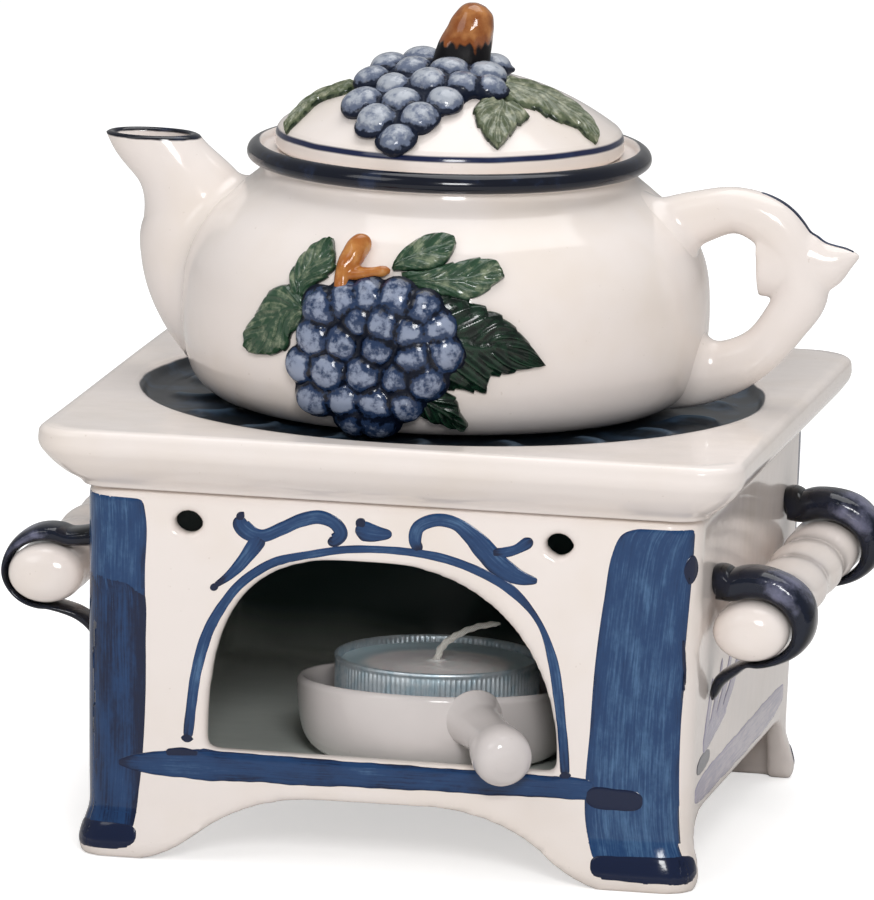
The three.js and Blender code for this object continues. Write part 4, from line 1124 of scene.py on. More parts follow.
def pot_body():
    """The pot turned from one closed line: foot, belly, rolled rim, lid ledge, inside, base."""
    foot_inner = POT_FOOT_RADIUS - 6
    ledge = RIM_RADIUS - RIM_LEDGE_WIDTH
    rim = curve([
        [POT_NECK_RADIUS, NECK_TOP],
        [POT_NECK_RADIUS + 0.7, NECK_TOP + 0.35],
        [RIM_RADIUS - 1.0, NECK_TOP + 0.5],
        [RIM_RADIUS - 0.15, NECK_TOP + 1.25],
        [RIM_RADIUS, NECK_TOP + 2.2],
        [RIM_RADIUS - 0.4, NECK_TOP + 3.2],
        [RIM_RADIUS - 1.3, RIM_TOP - 0.2],
        [RIM_RADIUS - 2.3, RIM_TOP - 0.1],
        [ledge + 0.25, RIM_TOP - 0.7],
        [ledge, LEDGE_TOP + 0.25],
        [ledge - 0.5, LEDGE_TOP],
        [MOUTH_RADIUS + 0.5, LEDGE_TOP],
        [MOUTH_RADIUS, LEDGE_TOP - 0.5],
        [MOUTH_RADIUS, NECK_TOP - 1.5],
    ], 90)[1:]
    outer = np.stack([POT_SIDE[::2, 0], POT_BASE + POT_SIDE[::2, 1]], -1)
    radius, height = pot_side(40)[4:-4][::-1].T
    inside = np.stack([radius - POT_WALL, POT_BASE + np.maximum(height, POT_WALL + 1.2)], -1)
    start = [[TINY, POT_BASE + POT_FOOT_RECESS], [foot_inner, POT_BASE + POT_FOOT_RECESS],
             [foot_inner + 0.9, POT_BASE + 0.1], [foot_inner + 2, POT_BASE],
             [POT_FOOT_RADIUS - 0.8, POT_BASE]]
    end = [[POT_FOOT_RADIUS - POT_WALL, POT_BASE + POT_WALL + 0.4], [TINY, POT_BASE + POT_WALL]]
    grid = turned(np.vstack([start, outer, rim, inside, end]), 192, POT_AXIS_X)
    return add_piece("pot_body_glazed", closed_shell(grid), "pot", "teapot",
                     ["pot_body"])


def pot_spout():
    """A hollow spout: outer skin from the join up to the lip, over the lip and down inside."""
    steps = 420
    rows = pot_rows(SPOUT)
    centre = curve(rows, steps)[:, None, :3]
    skins = []
    for inset, radius in ((0.0, SPOUT_JOIN), (SPOUT_WALL, 0.4)):
        sized = [[*row[:3], row[3] - inset, row[4] - inset] for row in rows]
        grid = swept(sized, SIDEWAYS, 96, steps, 2.0, UP)
        foot = crossing(-off_pot(grid), from_end=True)
        top = crossing(SPOUT_TOP - 0.35 - grid[..., 2], from_end=True)
        share = np.linspace(0, 1, 110)[:, None] ** 1.6
        skins.append(joined(grid, centre, foot + (top - foot) * share, radius, 0.25))
    outer, inner = skins
    lip = [outer[-1] * (1 - share) + inner[-1] * share + UP * 0.36 * np.sin(np.pi * share)
           for share in np.linspace(0, 1, 9)[1:-1]]
    grid = np.concatenate([outer, np.array(lip), inner[::-1]])
    return add_piece("pot_spout_glazed", closed_shell(grid, wrap_rows=True), "spout", "teapot",
                     ["pot_spout"])


def pot_handle():
    """The ear-shaped loop flared into the pot at both ends, its thumb spur grown into one skin."""
    steps = 500
    rows = pot_rows(HANDLE)
    grid = swept(rows, SIDEWAYS, 72, steps, 2.15)
    centre = curve(rows, steps)[:, None, :3]
    outside = off_pot(grid)
    first, last = crossing(outside), crossing(outside, from_end=True)
    share = (0.5 - 0.5 * np.cos(np.linspace(0, np.pi, 180)))[:, None]
    loop = joined(grid, centre, first + (last - first) * share, HANDLE_JOIN, 0.35)
    spur = swept(pot_rows(SPUR), SIDEWAYS, 48, 60)
    piece = mesh_object("pot_handle_glazed", merged([closed_shell(loop), closed_shell(spur)]))
    soften(piece, voxel=0.45, passes=9)
    return dress(piece, "cream", "teapot", ["pot_handle"])


def lid():
    """The lid turned from one closed line: hollow underside, centring flange, edge and dome."""
    flange = MOUTH_RADIUS - LID_FLANGE_CLEARANCE
    bottom = LID_BASE - LID_FLANGE_DEPTH
    inside = np.linspace(TINY, flange - LID_FLANGE_WALL - 0.8, 24)
    dome = np.linspace(LID_RADIUS - 1.2, TINY, 80)
    profile = np.vstack([
        np.stack([inside, lid_height(inside) - LID_WALL], -1),
        curve([
            [flange - LID_FLANGE_WALL, LID_BASE - 0.5],
            [flange - LID_FLANGE_WALL, bottom + 0.8],
            [flange - 0.5 * LID_FLANGE_WALL, bottom],
            [flange, bottom + 0.8],
            [flange, LID_BASE - 0.6],
            [flange + 0.4, LID_BASE],
            [LID_RADIUS - 0.7, LID_BASE],
            [LID_RADIUS - 0.05, LID_BASE + 0.7],
            [LID_RADIUS, LID_BASE + 1.8],
            [LID_RADIUS - 0.05, LID_SHOULDER - 0.6],
            [LID_RADIUS - 0.4, LID_SHOULDER + 0.35],
            [LID_RADIUS - 1.0, lid_height(LID_RADIUS - 1.0)],
        ], 60),
        np.stack([dome, lid_height(dome)], -1),
    ])
    return add_piece("lid_glazed", closed_shell(turned(profile, 192, POT_AXIS_X)), "lid", "lid",
                     ["lid_dome"])


# Relief of grapes, leaves and twigs

# Places are [arc length from the front, height] on the pot and [x, y] from the axis on the lid
POT_BERRIES = [
    [-13.2, 102.6], [-9.0, 104.0], [-4.6, 105.2], [0.6, 104.8], [5.2, 103.4], [-6.4, 101.2],
    [-1.2, 101.0], [3.4, 99.6], [8.2, 100.4], [-14.4, 97.4], [-9.2, 97.0], [-2.4, 96.4],
    [4.4, 95.2], [9.2, 96.2], [-17.0, 91.8], [-11.8, 91.6], [-5.0, 91.4], [1.2, 90.8],
    [6.0, 91.0], [-14.8, 86.4], [-9.0, 86.4], [-2.6, 86.2], [2.4, 86.8], [-7.6, 83.0],
    [-2.8, 83.4],
]
LID_BERRIES = [
    [-6.2, 3.4], [0.8, 4.4], [7.4, 3.0], [-11.2, -1.6], [-5.8, -6.6], [-12.8, -9.0],
    [1.2, -7.6], [7.8, -6.4], [-7.8, -14.4], [-1.4, -13.8], [4.8, -13.6], [9.4, -12.4],
    [-12.4, -19.2], [-5.0, -20.6], [2.8, -19.6], [-8.6, -25.2], [-0.8, -25.0], [-3.8, -30.0],
]


def berry_shell(centre, normal, radius, high, seed):
    """A slightly uneven low dome: latitude rings about its normal, a superellipse in height."""
    side = unit(np.cross(normal, [0.31, 0.22, 0.9]))
    other = np.cross(normal, side)
    polar = np.linspace(TINY, np.pi - TINY, 22)[:, None]
    turn = circle(32)[None]
    uneven = 0.07 * np.sin(2 * turn + seed) + 0.03 * np.sin(3 * turn + 2 * seed)
    flat = radius * (1 + uneven * np.sin(polar)) * np.sin(polar)
    level = high * np.sign(np.cos(polar)) * np.abs(np.cos(polar)) ** 0.85 + 0 * turn
    return closed_shell(centre
                        + side * (flat * np.cos(turn))[..., None]
                        + other * (flat * np.sin(turn))[..., None]
                        + normal * level[..., None])


# The rings of the mound under the berries: share of its size, height, and share of its lean
MOUND = [(0.1, -0.3, 0), (1.0, -0.3, 1), (1.0, 0.5, 1), (0.85, 1.3, 1), (0.5, 1.5, 1),
         (0.1, 1.5, 1)]


def bunch(node_name, places, surface, mound, body, finish, size, high):
    """Berries on a low mound, grown into one skin. The value "raised" is high on the crowns of
    the berries and low in the creases, where the two nearest berries are equally far."""
    places = np.asarray(places, float)
    count = len(places)
    radius = size * (1 - 0.06 * (np.arange(count) % 3))
    lift = GAP + 0.22 * radius
    centre = surface(places[:, 0], places[:, 1], lift)
    normal = unit(surface(places[:, 0], places[:, 1], lift + 1) - centre)
    shells = []
    for wide, deep, first in ((1.0, high, 0), (1.16, 0.3, 2)):
        shells += [berry_shell(centre[i], normal[i], wide * radius[i], deep * radius[i], first + i)
                   for i in range(count)]
    turn = circle(72)
    rings = []
    for share, level, leaning in MOUND:
        out = mound["half"][0] * share * np.cos(turn)
        up = mound["half"][1] * share * np.sin(turn)
        across = mound["middle"][0] + out + leaning * mound["lean"] * up
        rings.append(surface(across, mound["middle"][1] + up, np.full_like(turn, level)))
    shells.append(closed_shell(np.array(rings)))
    piece = mesh_object(f"{node_name}_glazed", merged(shells))
    soften(piece, voxel=0.36, passes=2)
    points = points_of(piece.data)
    apart = np.linalg.norm(points[:, None] - centre[None], axis=2) / radius
    order = np.sort(apart, axis=1)
    crease = ease(order[:, 1] - order[:, 0], 0.02, 0.55)
    nearest = np.argmin(apart, axis=1)
    crown = np.einsum("ij,ij->i", unit(points - centre[nearest]), normal[nearest])
    raised = 0.06 + 0.74 * crease * ease(crown, -0.1, 0.7) - 0.4 * ease(order[:, 0], 1.0, 1.15)
    add_value(piece.data, "raised", raised + 0.12 * np.sin(7.3 * nearest))
    return dress(piece, finish, body, [node_name])


# How raised the flesh, the veins and the edge of each sort of leaf count for its glaze
LEAF_TONES = {
    "leaf": (0.3, 0.38, 0.1),
    "brushed_leaf": (0.74, -0.42, -0.5),
    "pale_leaf": (0.8, -0.4, -0.55),
}


def leaf(node_name, surface, body, finish, left, right, teeth, notch, ribs):
    """A leaf between two outline edges, each from base to tip. Rows run along it and columns
    across; a ring goes over the top and back underneath. The top is a low arch with a raised
    midrib and slanting side veins, and the edge steps in and out like a saw."""
    steps, half_columns = 120, 25
    one, two = curve(left, steps), curve(right, steps)
    middle, reach = 0.5 * (one + two), 0.5 * (one - two)
    along = np.linspace(0, 1, steps)[:, None]
    across = np.linspace(-1, 1, 2 * half_columns + 1)[None]
    saw = (along * teeth + 0.25 * np.sign(across)) % 1.0
    toothed = np.sin(np.pi * along) ** 0.4 * (0.25 + 0.75 * ease(along, 0.15, 0.5))
    bite = notch * (1 - saw ** 0.7) * np.abs(across) ** 4 * toothed
    flat = middle[:, None] + reach[:, None] * (across * (1 - bite))[..., None]
    edge = 1 - np.abs(across) ** 5
    midrib = np.exp(-(across / 0.085) ** 2) * (1 - 0.7 * along)
    phase = ribs * (along - 0.42 * np.abs(across)) % 1.0
    side_vein = np.exp(-((phase - 0.5) / 0.16) ** 2) * ease(np.abs(across), 0.05, 0.25) * edge
    fold = 0.55 * np.abs(across) ** 1.3
    wave = across ** 2 * np.sin(2 * np.pi * (1.5 * along + 0.3 * np.sign(across)))
    flesh_high = 0.45 + (0.75 + fold + 0.25 * wave) * edge
    top = flesh_high + 0.55 * midrib + 0.42 * side_vein
    taper = ease(along, 0, 0.06) * (1 - ease(along, 0.93, 1))
    top = 0.3 + (top - 0.3) * (0.35 + 0.65 * taper)
    upper = surface(flat[..., 0], flat[..., 1], top)
    lower = surface(flat[..., 0], flat[..., 1], np.full_like(top, -0.15))
    vein = np.clip(0.8 * side_vein + midrib, 0, 1) ** 3
    lip = ease(np.abs(across) + 0 * along, 0.86, 1.0)
    flesh, vein_tone, lip_tone = LEAF_TONES[finish]
    raised = flesh + vein_tone * vein + lip_tone * lip
    raised = raised - 0.16 * (1 - vein) * ease(phase, 0.0, 0.2)
    raised = np.append(folded(raised, np.full_like(raised, 0.3)), [0.3, 0.3])
    return add_piece(f"{node_name}_glazed", closed_shell(folded(upper, lower)), finish, body,
                     [node_name], values={"raised": raised})


# Each leaf: its two edges from base to tip, and how many teeth and side veins it has
POT_LEAVES = [
    {"left": [[-1.0, 108.7], [4.5, 108.3], [8.5, 107.1], [12.8, 106.1], [16.8, 104.5],
              [19.5, 103.1], [22.2, 100.9], [25.2, 97.5], [28.2, 93.5]],
     "right": [[4.8, 86.8], [8.2, 88.6], [12.8, 88.8], [17.2, 88.1], [17.5, 89.6], [18.0, 91.2],
               [20.5, 91.6], [23.8, 92.6], [28.2, 93.5]],
     "teeth": 9, "notch": 0.12, "ribs": 7},
    {"left": [[0.8, 109.8], [6.0, 110.4], [9.2, 111.4], [12.8, 112.3], [16.5, 112.6],
              [19.2, 112.1], [20.6, 109.6]],
     "right": [[1.8, 106.9], [7.0, 106.3], [10.5, 105.7], [13.8, 105.2], [16.2, 106.2],
               [18.5, 107.8], [20.6, 109.2]],
     "teeth": 4, "notch": 0.14, "ribs": 5},
    {"left": [[-20.2, 104.0], [-22.0, 107.2], [-21.4, 110.0], [-19.6, 112.5], [-17.0, 113.9],
              [-14.9, 114.1]],
     "right": [[-17.0, 104.0], [-15.8, 106.3], [-14.0, 107.6], [-12.5, 109.5], [-13.2, 111.6],
               [-14.7, 113.9]],
     "teeth": 5, "notch": 0.12, "ribs": 5},
    {"left": [[-16.6, 99.6], [-18.5, 98.3], [-20.2, 96.7], [-20.4, 94.8], [-22.2, 93.3],
              [-25.5, 92.4], [-30.0, 92.4]],
     "right": [[-17.4, 104.1], [-20.0, 105.6], [-22.8, 105.9], [-26.4, 103.9], [-28.6, 100.2],
               [-31.2, 96.6], [-30.6, 92.8]],
     "teeth": 5, "notch": 0.12, "ribs": 5},
    {"left": [[-1.2, 110.4], [-0.2, 112.6], [2.0, 114.6], [4.8, 115.9], [7.8, 116.2],
              [10.5, 115.8], [11.4, 114.7]],
     "right": [[-0.8, 109.9], [2.5, 110.0], [6.0, 110.1], [8.7, 111.0], [10.3, 112.6],
               [11.3, 114.3]],
     "teeth": 4, "notch": 0.1, "ribs": 4},
    {"left": [[6.4, 90.4], [9.0, 89.2], [12.2, 87.2], [12.6, 85.4], [13.3, 84.0], [14.4, 82.4]],
     "right": [[3.0, 87.4], [3.9, 84.9], [6.0, 83.3], [9.2, 82.4], [12.3, 81.8], [14.2, 82.1]],
     "teeth": 4, "notch": 0.14, "ribs": 4},
]
LID_LEAVES = [
    {"left": [[15.6, -14.6], [17.9, -16.0], [17.2, -18.6], [16.2, -22.2], [15.4, -25.0],
              [14.4, -27.3]],
     "right": [[8.8, -15.4], [8.0, -19.6], [8.8, -22.4], [10.8, -25.2], [12.6, -26.7],
               [14.1, -27.4]],
     "teeth": 4, "notch": 0.14, "ribs": 4},
    {"left": [[10.0, -4.4], [13.6, -1.6], [17.0, -0.4], [20.8, -0.6], [24.6, -2.6], [27.6, -5.6],
              [29.2, -8.6], [29.6, -11.2]],
     "right": [[11.4, -13.2], [15.4, -13.6], [18.4, -12.6], [20.6, -13.2], [23.4, -12.2],
               [25.8, -10.8], [27.5, -11.6], [29.4, -11.5]],
     "teeth": 7, "notch": 0.14, "ribs": 6},
    {"left": [[-16.0, -8.8], [-18.0, -10.2], [-20.6, -9.6], [-22.8, -9.4], [-24.0, -11.8],
              [-25.4, -14.6], [-27.1, -16.7]],
     "right": [[-16.4, -5.4], [-19.4, -5.2], [-22.6, -5.0], [-25.2, -6.4], [-26.8, -9.6],
               [-27.4, -13.0], [-27.5, -16.8]],
     "teeth": 5, "notch": 0.12, "ribs": 5},
]


def gnarled(node_name, tubes, body, finish, rough, foot):
    """Twigs with knots and long cracks, one skin; darker in the cracks and at the foot, up to the
    two shares of the height where the dark glaze ends in drips."""
    shells = []
    for rows, reference in tubes:
        grid = swept(rows, reference, 40, 70, 2.2)
        middle = grid.mean(axis=1, keepdims=True)
        knots = 0.07 * ripple(grid, 0.9, 1.0) + 0.05 * ripple(grid * [1, 1, 0.3], 0.5, 4.0)
        shells.append(closed_shell(middle + (grid - middle) * (1 + rough * knots)[..., None]))
    piece = mesh_object(f"{node_name}_glazed", merged(shells))
    soften(piece, voxel=0.3, passes=2)
    points = points_of(piece.data)
    low, high = points[:, 2].min(), points[:, 2].max()
    share = (points[:, 2] - low) / (high - low)
    stretched = points * [1.0, 1.0, 0.3]
    drips = 0.07 * ripple(stretched, 0.9, 5.0) + 0.09 * ripple(stretched, 0.37, 1.0)
    raised = -0.25 + 0.9 * ease(share + drips, *foot) + 0.16 * ripple(points, 0.8, 2.0)
    add_value(piece.data, "raised", raised)
    return dress(piece, finish, body, [node_name])


def pot_twig():
    """A club-ended stalk over the bunch with a thin side branch."""
    stalk = np.array([[-10.0, 105.4, 1.7], [-10.2, 107.8, 1.9], [-9.8, 110.2, 2.3],
                      [-8.9, 112.4, 2.6], [-8.1, 113.9, 2.2], [-7.8, 114.7, 0.8]])
    branch = np.array([[-9.2, 108.6, 1.5], [-6.6, 108.9, 1.4], [-4.2, 109.3, 1.2],
                       [-2.2, 109.6, 1.1], [-1.2, 109.6, 0.4]])
    tubes = []
    for rows in (stalk, branch):
        place = on_pot(rows[:, 0], rows[:, 1], 1.1)
        tubes.append((np.hstack([place, 0.85 * rows[:, 2:], rows[:, 2:]]), -SIDEWAYS))
    return gnarled("pot_twig", tubes, "teapot", "twig", rough=0.8, foot=(0.0, 0.16))


def lid_twig():
    """The lid's knob: a thick twig that leans to the right."""
    top = float(lid_height(np.array(0.0)))
    rows = [[1.7, -0.4, 5.8], [1.9, 1.2, 5.5], [2.4, 4.0, 5.0], [3.3, 7.0, 4.4], [4.1, 9.6, 3.8],
            [4.8, 11.4, 2.9], [5.2, 12.4, 1.1]]
    placed = [[POT_AXIS_X + x, 0.0, top + up, size, 0.95 * size] for x, up, size in rows]
    return gnarled("lid_twig", [(placed, SIDEWAYS)], "lid", "knob_twig", rough=0.35,
                   foot=(0.3, 0.62))


# Dish and tealight

def dish_tilt(grid):
    """Raises the dish's rim towards the front, more the higher a point is."""
    share = np.clip((grid[..., 2] - DISH_FLOOR - DISH_BASE - 1) / DISH_HEIGHT, 0, 1)
    grid[..., 2] -= DISH_RIM_SLOPE * share * (grid[..., 1] - DISH_Y)
    return grid


def dish_bowl():
    """The dish turned from one closed line, its rim a soft roll."""
    tall, wide = DISH_HEIGHT, DISH_RADIUS
    profile = curve([
        [DISH_FOOT_RADIUS, 0.05],
        [0.865 * wide, 0.06 * tall],
        [0.935 * wide, 0.22 * tall],
        [0.973 * wide, 0.46 * tall],
        [0.995 * wide, 0.86 * tall],
        [wide - 0.2, 0.95 * tall],
        [wide - 0.9, tall],
        [wide - 1.7, tall - 0.3],
        [wide - DISH_WALL, 0.9 * tall],
        [0.973 * wide - DISH_WALL, 0.46 * tall],
        [0.93 * wide - DISH_WALL, 0.3 * tall],
        [CANDLE_RADIUS + 1.6, DISH_BASE + 0.7],
        [CANDLE_RADIUS, DISH_BASE],
    ], 110)
    profile = np.vstack([[[TINY, 0.0], [DISH_FOOT_RADIUS - 1.0, 0.0]], profile,
                         [[CANDLE_RADIUS - 3, DISH_BASE], [TINY, DISH_BASE]]])
    profile[:, 1] += DISH_FLOOR
    grid = dish_tilt(turned(profile, 144, DISH_X, DISH_Y))
    return add_piece("dish_bowl_glazed", closed_shell(grid), "dish", "burner_dish",
                     ["dish_bowl"])


def dish_handle():
    """A short handle swept out from the bowl's wall over the sill: flared root, waist, round end.
    Rows are [distance from the bowl's axis, height above the floor, radius]."""
    rows = [[24.2, 10.9, 5.7], [25.6, 10.6, 5.2], [28.0, 10.1, 4.6], [31.0, 9.7, 4.3],
            [34.0, 9.2, 4.3], [36.2, 8.6, 4.7], [38.4, 7.9, 5.3], [40.8, 7.2, 5.5],
            [42.8, 6.6, 5.0], [44.1, 6.2, 3.6], [44.7, 6.0, 1.2]]
    path = []
    for out, high, radius in rows:
        share = (out - rows[0][0]) / (rows[-1][0] - rows[0][0])
        turn = np.radians(PAN_HANDLE_TURN + 1.4 * share)
        path.append([DISH_X + out * np.sin(turn), DISH_Y - out * np.cos(turn),
                     DISH_FLOOR + high, radius, radius])
    return add_piece("dish_handle_glazed", closed_shell(swept(path, UP, 64, 120)), "dish",
                     "burner_dish", ["dish_handle"])


def tealight_cup():
    """A pleated foil cup: the wall's radius follows the cosine of many turns, under a rolled
    rim."""
    top = CANDLE_BASE + CANDLE_HEIGHT
    wall = CANDLE_RADIUS - CANDLE_FOIL
    profile = np.vstack([
        [[TINY, CANDLE_BASE], [CANDLE_RADIUS - 1.2, CANDLE_BASE],
         [CANDLE_RADIUS - 0.5, CANDLE_BASE + 0.3]],
        [[CANDLE_RADIUS - 0.2, level] for level in np.linspace(CANDLE_BASE + 1.2, top - 1.3, 14)],
        [[CANDLE_RADIUS - 0.25, top - 1.0], [CANDLE_RADIUS + 0.02, top - 0.7],
         [CANDLE_RADIUS + 0.1, top - 0.35], [CANDLE_RADIUS - 0.1, top - 0.05],
         [CANDLE_RADIUS - 0.4, top], [wall - 0.1, top - 0.4]],
        [[wall - 0.2, level] for level in np.linspace(top - 1.2, CANDLE_BASE + 1.2, 8)],
        [[wall - 1.0, CANDLE_BASE + CANDLE_FOIL], [TINY, CANDLE_BASE + CANDLE_FOIL]],
    ])
    grid = turned(profile, 960, DISH_X, DISH_Y)
    angle = circle(960)
    radius, height = profile[:, :1], profile[:, 1:]
    share = ease(height, CANDLE_BASE + 0.6, CANDLE_BASE + 2) * (radius > wall - 0.4)
    share = share * (1 - ease(height, top - 1.6, top - 0.8))
    pleat = share * (PLEAT_DEPTH * np.cos(PLEATS * angle) + 0.04 * np.sin(17 * angle))
    grid[..., 0] += pleat * np.cos(angle)
    grid[..., 1] += pleat * np.sin(angle)
    return add_piece("tealight_cup_pleated", closed_shell(grid), "foil", "tealight",
                     ["tealight_cup"])


def tealight_wax():
    """The wax round the wick: a flat top that climbs a little at the wall and at the wick."""
    top = CANDLE_BASE + CANDLE_HEIGHT - WAX_DROP
    floor = CANDLE_BASE + CANDLE_FOIL + GAP
    wax = CANDLE_RADIUS - CANDLE_FOIL - 0.2 - GAP
    hollow = WICK_RADIUS + 0.15
    climb = floor + SUSTAINER_THICKNESS + GAP
    profile = np.vstack([
        [[SUSTAINER_ROOM, floor], [wax - 1.2, floor], [wax - 0.3, floor + 0.4], [wax, floor + 1.3]],
        [[wax, height] for height in np.linspace(floor + 3, top - 2, 6)],
        curve([[wax, top - 0.6], [wax - 0.1, top + 0.2], [wax - 0.7, top + 0.05],
               [wax - 2.0, top - 0.3], [0.62 * wax, top - 0.1], [0.3 * wax, top + 0.35],
               [2.0, top + 0.5], [hollow + 0.1, top + 0.75], [hollow, top + 0.4]], 60),
        [[hollow, climb], [SUSTAINER_ROOM, climb]],
    ])
    grid = turned(profile, 128, DISH_X, DISH_Y)
    return add_piece("tealight_wax_poured", closed_shell(grid, wrap_rows=True), "wax", "tealight",
                     ["tealight_wax"])


def tealight_wick():
    """A braided wick: strands wind round it as ridges, and it bends over towards the right."""
    top = CANDLE_BASE + CANDLE_HEIGHT - WAX_DROP
    foot = CANDLE_BASE + CANDLE_FOIL + 2 * GAP + SUSTAINER_THICKNESS
    size = 0.82 * WICK_RADIUS
    bends = [[0, foot, 1, 1], [0, top - 4, 1, 1], [0, top + 0.8, 1, 1], [0.8, top + 3, 1, 1],
             [3, top + 5, 0.95, 0.95], [6.8, top + 7, 0.85, 0.9], [10.6, top + 7.9, 0.7, 0.75],
             [11.6, top + 8, 0.3, 0.3]]
    rows = [[DISH_X + over, DISH_Y, level, deep * size, wide * size]
            for over, level, deep, wide in bends]
    steps, around = 220, 28
    grid = swept(rows, SIDEWAYS, around, steps)
    middle = grid.mean(axis=1, keepdims=True)
    along = np.linspace(0, 26, steps)[:, None]
    angle = circle(around)[None]
    strand = 1 + 0.1 * np.cos(3 * angle + 2 * np.pi * along / 2.2)
    strand = strand + 0.06 * np.cos(3 * angle - 2 * np.pi * along / 2.2)
    grid = middle + (grid - middle) * strand[..., None]
    uv = np.stack(np.broadcast_arrays(along, angle), -1).reshape(-1, 2)
    return add_piece("tealight_wick_braided", closed_shell(grid), "cotton", "tealight",
                     ["tealight_wick"], uv=with_ends(uv))


# Brush painting on the stove

WALL_STRAIGHT = STOVE_HALF - STOVE_CORNER
WALL_TURN = 0.5 * np.pi * STOVE_CORNER
WALL_RUN = 2 * WALL_STRAIGHT + WALL_TURN
BRUSH_SPREAD = 1.1
PAINT_SUNK = 0.3


def on_wall(around, height):
    """Points of the stove's outside: the distance round it from the middle of the front towards
    +X, and the height. Each quarter is a straight side between two halves of round corners."""
    quarter = np.round(around / WALL_RUN)
    local = around - quarter * WALL_RUN
    straight = np.clip(local, -WALL_STRAIGHT, WALL_STRAIGHT)
    angle = (local - straight) / STOVE_CORNER
    half = STOVE_HALF - STOVE_TAPER * (1 - height / STOVE_HEIGHT)
    x = straight + STOVE_CORNER * np.sin(angle)
    y = -(half - STOVE_CORNER) - STOVE_CORNER * np.cos(angle)
    cosine, sine = np.cos(quarter * np.pi / 2), np.sin(quarter * np.pi / 2)
    return np.stack([x * cosine - y * sine, x * sine + y * cosine, height + 0 * x], -1)


def laid_on(grid, target):
    """A grid of points moved to the nearest places on a finished piece."""
    rows, columns = grid.shape[:2]
    shell = {"points": grid.reshape(-1, 3), "quads": grid_quads(rows, columns, False, False),
             "fans": np.zeros((0, 3), int)}
    probe = mesh_object("probe", shell)
    wrap = probe.modifiers.new("lay", "SHRINKWRAP")
    wrap.target = target
    settle(probe)
    laid = points_of(probe.data).reshape(rows, columns, 3)
    bpy.data.objects.remove(probe)
    return laid


def stroke_sheet(rows, steps, surface):
    """A brush stroke as a sheet: rows are [across the wall, height, half width, load]. The edges
    lie square to the line, both ends are round, and the load is how much colour it carries."""
    line = curve(rows, steps)
    centre, half, load = line[:, :2], BRUSH_SPREAD * line[:, 2:3], line[:, 3:4]
    along = unit(np.gradient(centre, axis=0))
    beside = np.stack([-along[:, 1], along[:, 0]], -1)
    length = run_of(centre)
    near_end = np.minimum(length, length[-1] - length)[:, None]
    cap = np.sqrt(1 - (1 - np.clip(near_end / np.maximum(half, 0.1), 0, 1)) ** 2)
    drift = 0.03 * np.sin(0.37 * length + 1) + 0.02 * np.sin(0.83 * length)
    ragged = 1 + (drift + 0.012 * np.sin(1.7 * length + 2))[:, None]
    across = np.linspace(-1, 1, 15)[None]
    wide = half * np.maximum(cap, 0.02) * ragged
    flat = centre[:, None] + beside[:, None] * (wide * across)[..., None]
    stroke = np.stack([length[:, None] + 0 * across, half * across], -1)
    return surface(flat[..., 0], flat[..., 1]), stroke, load + 0 * across


def band_sheet(left, right, loads, steps, surface):
    """A broad painted band between two edges, each a list of [across the wall, height] from its
    top down, with the load at its top and its foot."""
    one, two = curve(left, steps), curve(right, steps)
    across = np.linspace(0, 1, 31)[None]
    flat = one[:, None] + (two - one)[:, None] * across[..., None]
    width = np.linalg.norm(two - one, axis=1)[:, None]
    stroke = np.stack([run_of(one)[:, None] + 0 * across, width * (across - 0.5)], -1)
    load = np.linspace(loads[0], loads[1], steps)[:, None] + 0 * across
    return surface(flat[..., 0], flat[..., 1]), stroke, load


def painted(name, sheets, target, lift, body="stove", finish="paint"):
    """Paint as thin lens-shaped skins: each sheet is laid on the piece, its middle stands off by
    the lift and its edges dip just under the surface, so the paint ends on a clean line. A later
    sheet stands a little higher, and its streaks start at another place of the pattern."""
    shells, uvs, loads = [], [], []
    for order, (sheet, stroke, load) in enumerate(sheets):
        laid = laid_on(sheet, target)
        normal = unit(np.cross(np.gradient(laid, axis=1), np.gradient(laid, axis=0)))
        outward = laid - laid.mean(axis=(0, 1)) * [0.2, 0.2, 1.0]
        normal = normal * np.where((normal * outward).sum(-1, keepdims=True) < 0, -1, 1)
        rows, columns = laid.shape[:2]
        v = np.linspace(-1, 1, columns)[None]
        u = np.linspace(-1, 1, rows)[:, None]
        bulge = (1 - np.abs(v) ** 8) * (1 - np.abs(u) ** 40)
        high = (lift + 0.004 * order) * (1.6 * bulge - 0.6)
        skin = folded(laid + normal * high[..., None], laid - normal * PAINT_SUNK)
        shells.append(closed_shell(skin))
        uvs.append(with_ends(folded(stroke, stroke).reshape(-1, 2)) + [31.7 * order, 0])
        load = load + 0.8 * np.abs(v) ** 7
        loads.append(with_ends(folded(load, load).ravel()))
    return add_piece(name, merged(shells), finish, body, uv=np.vstack(uvs),
                     values={"load": np.concatenate(loads)})


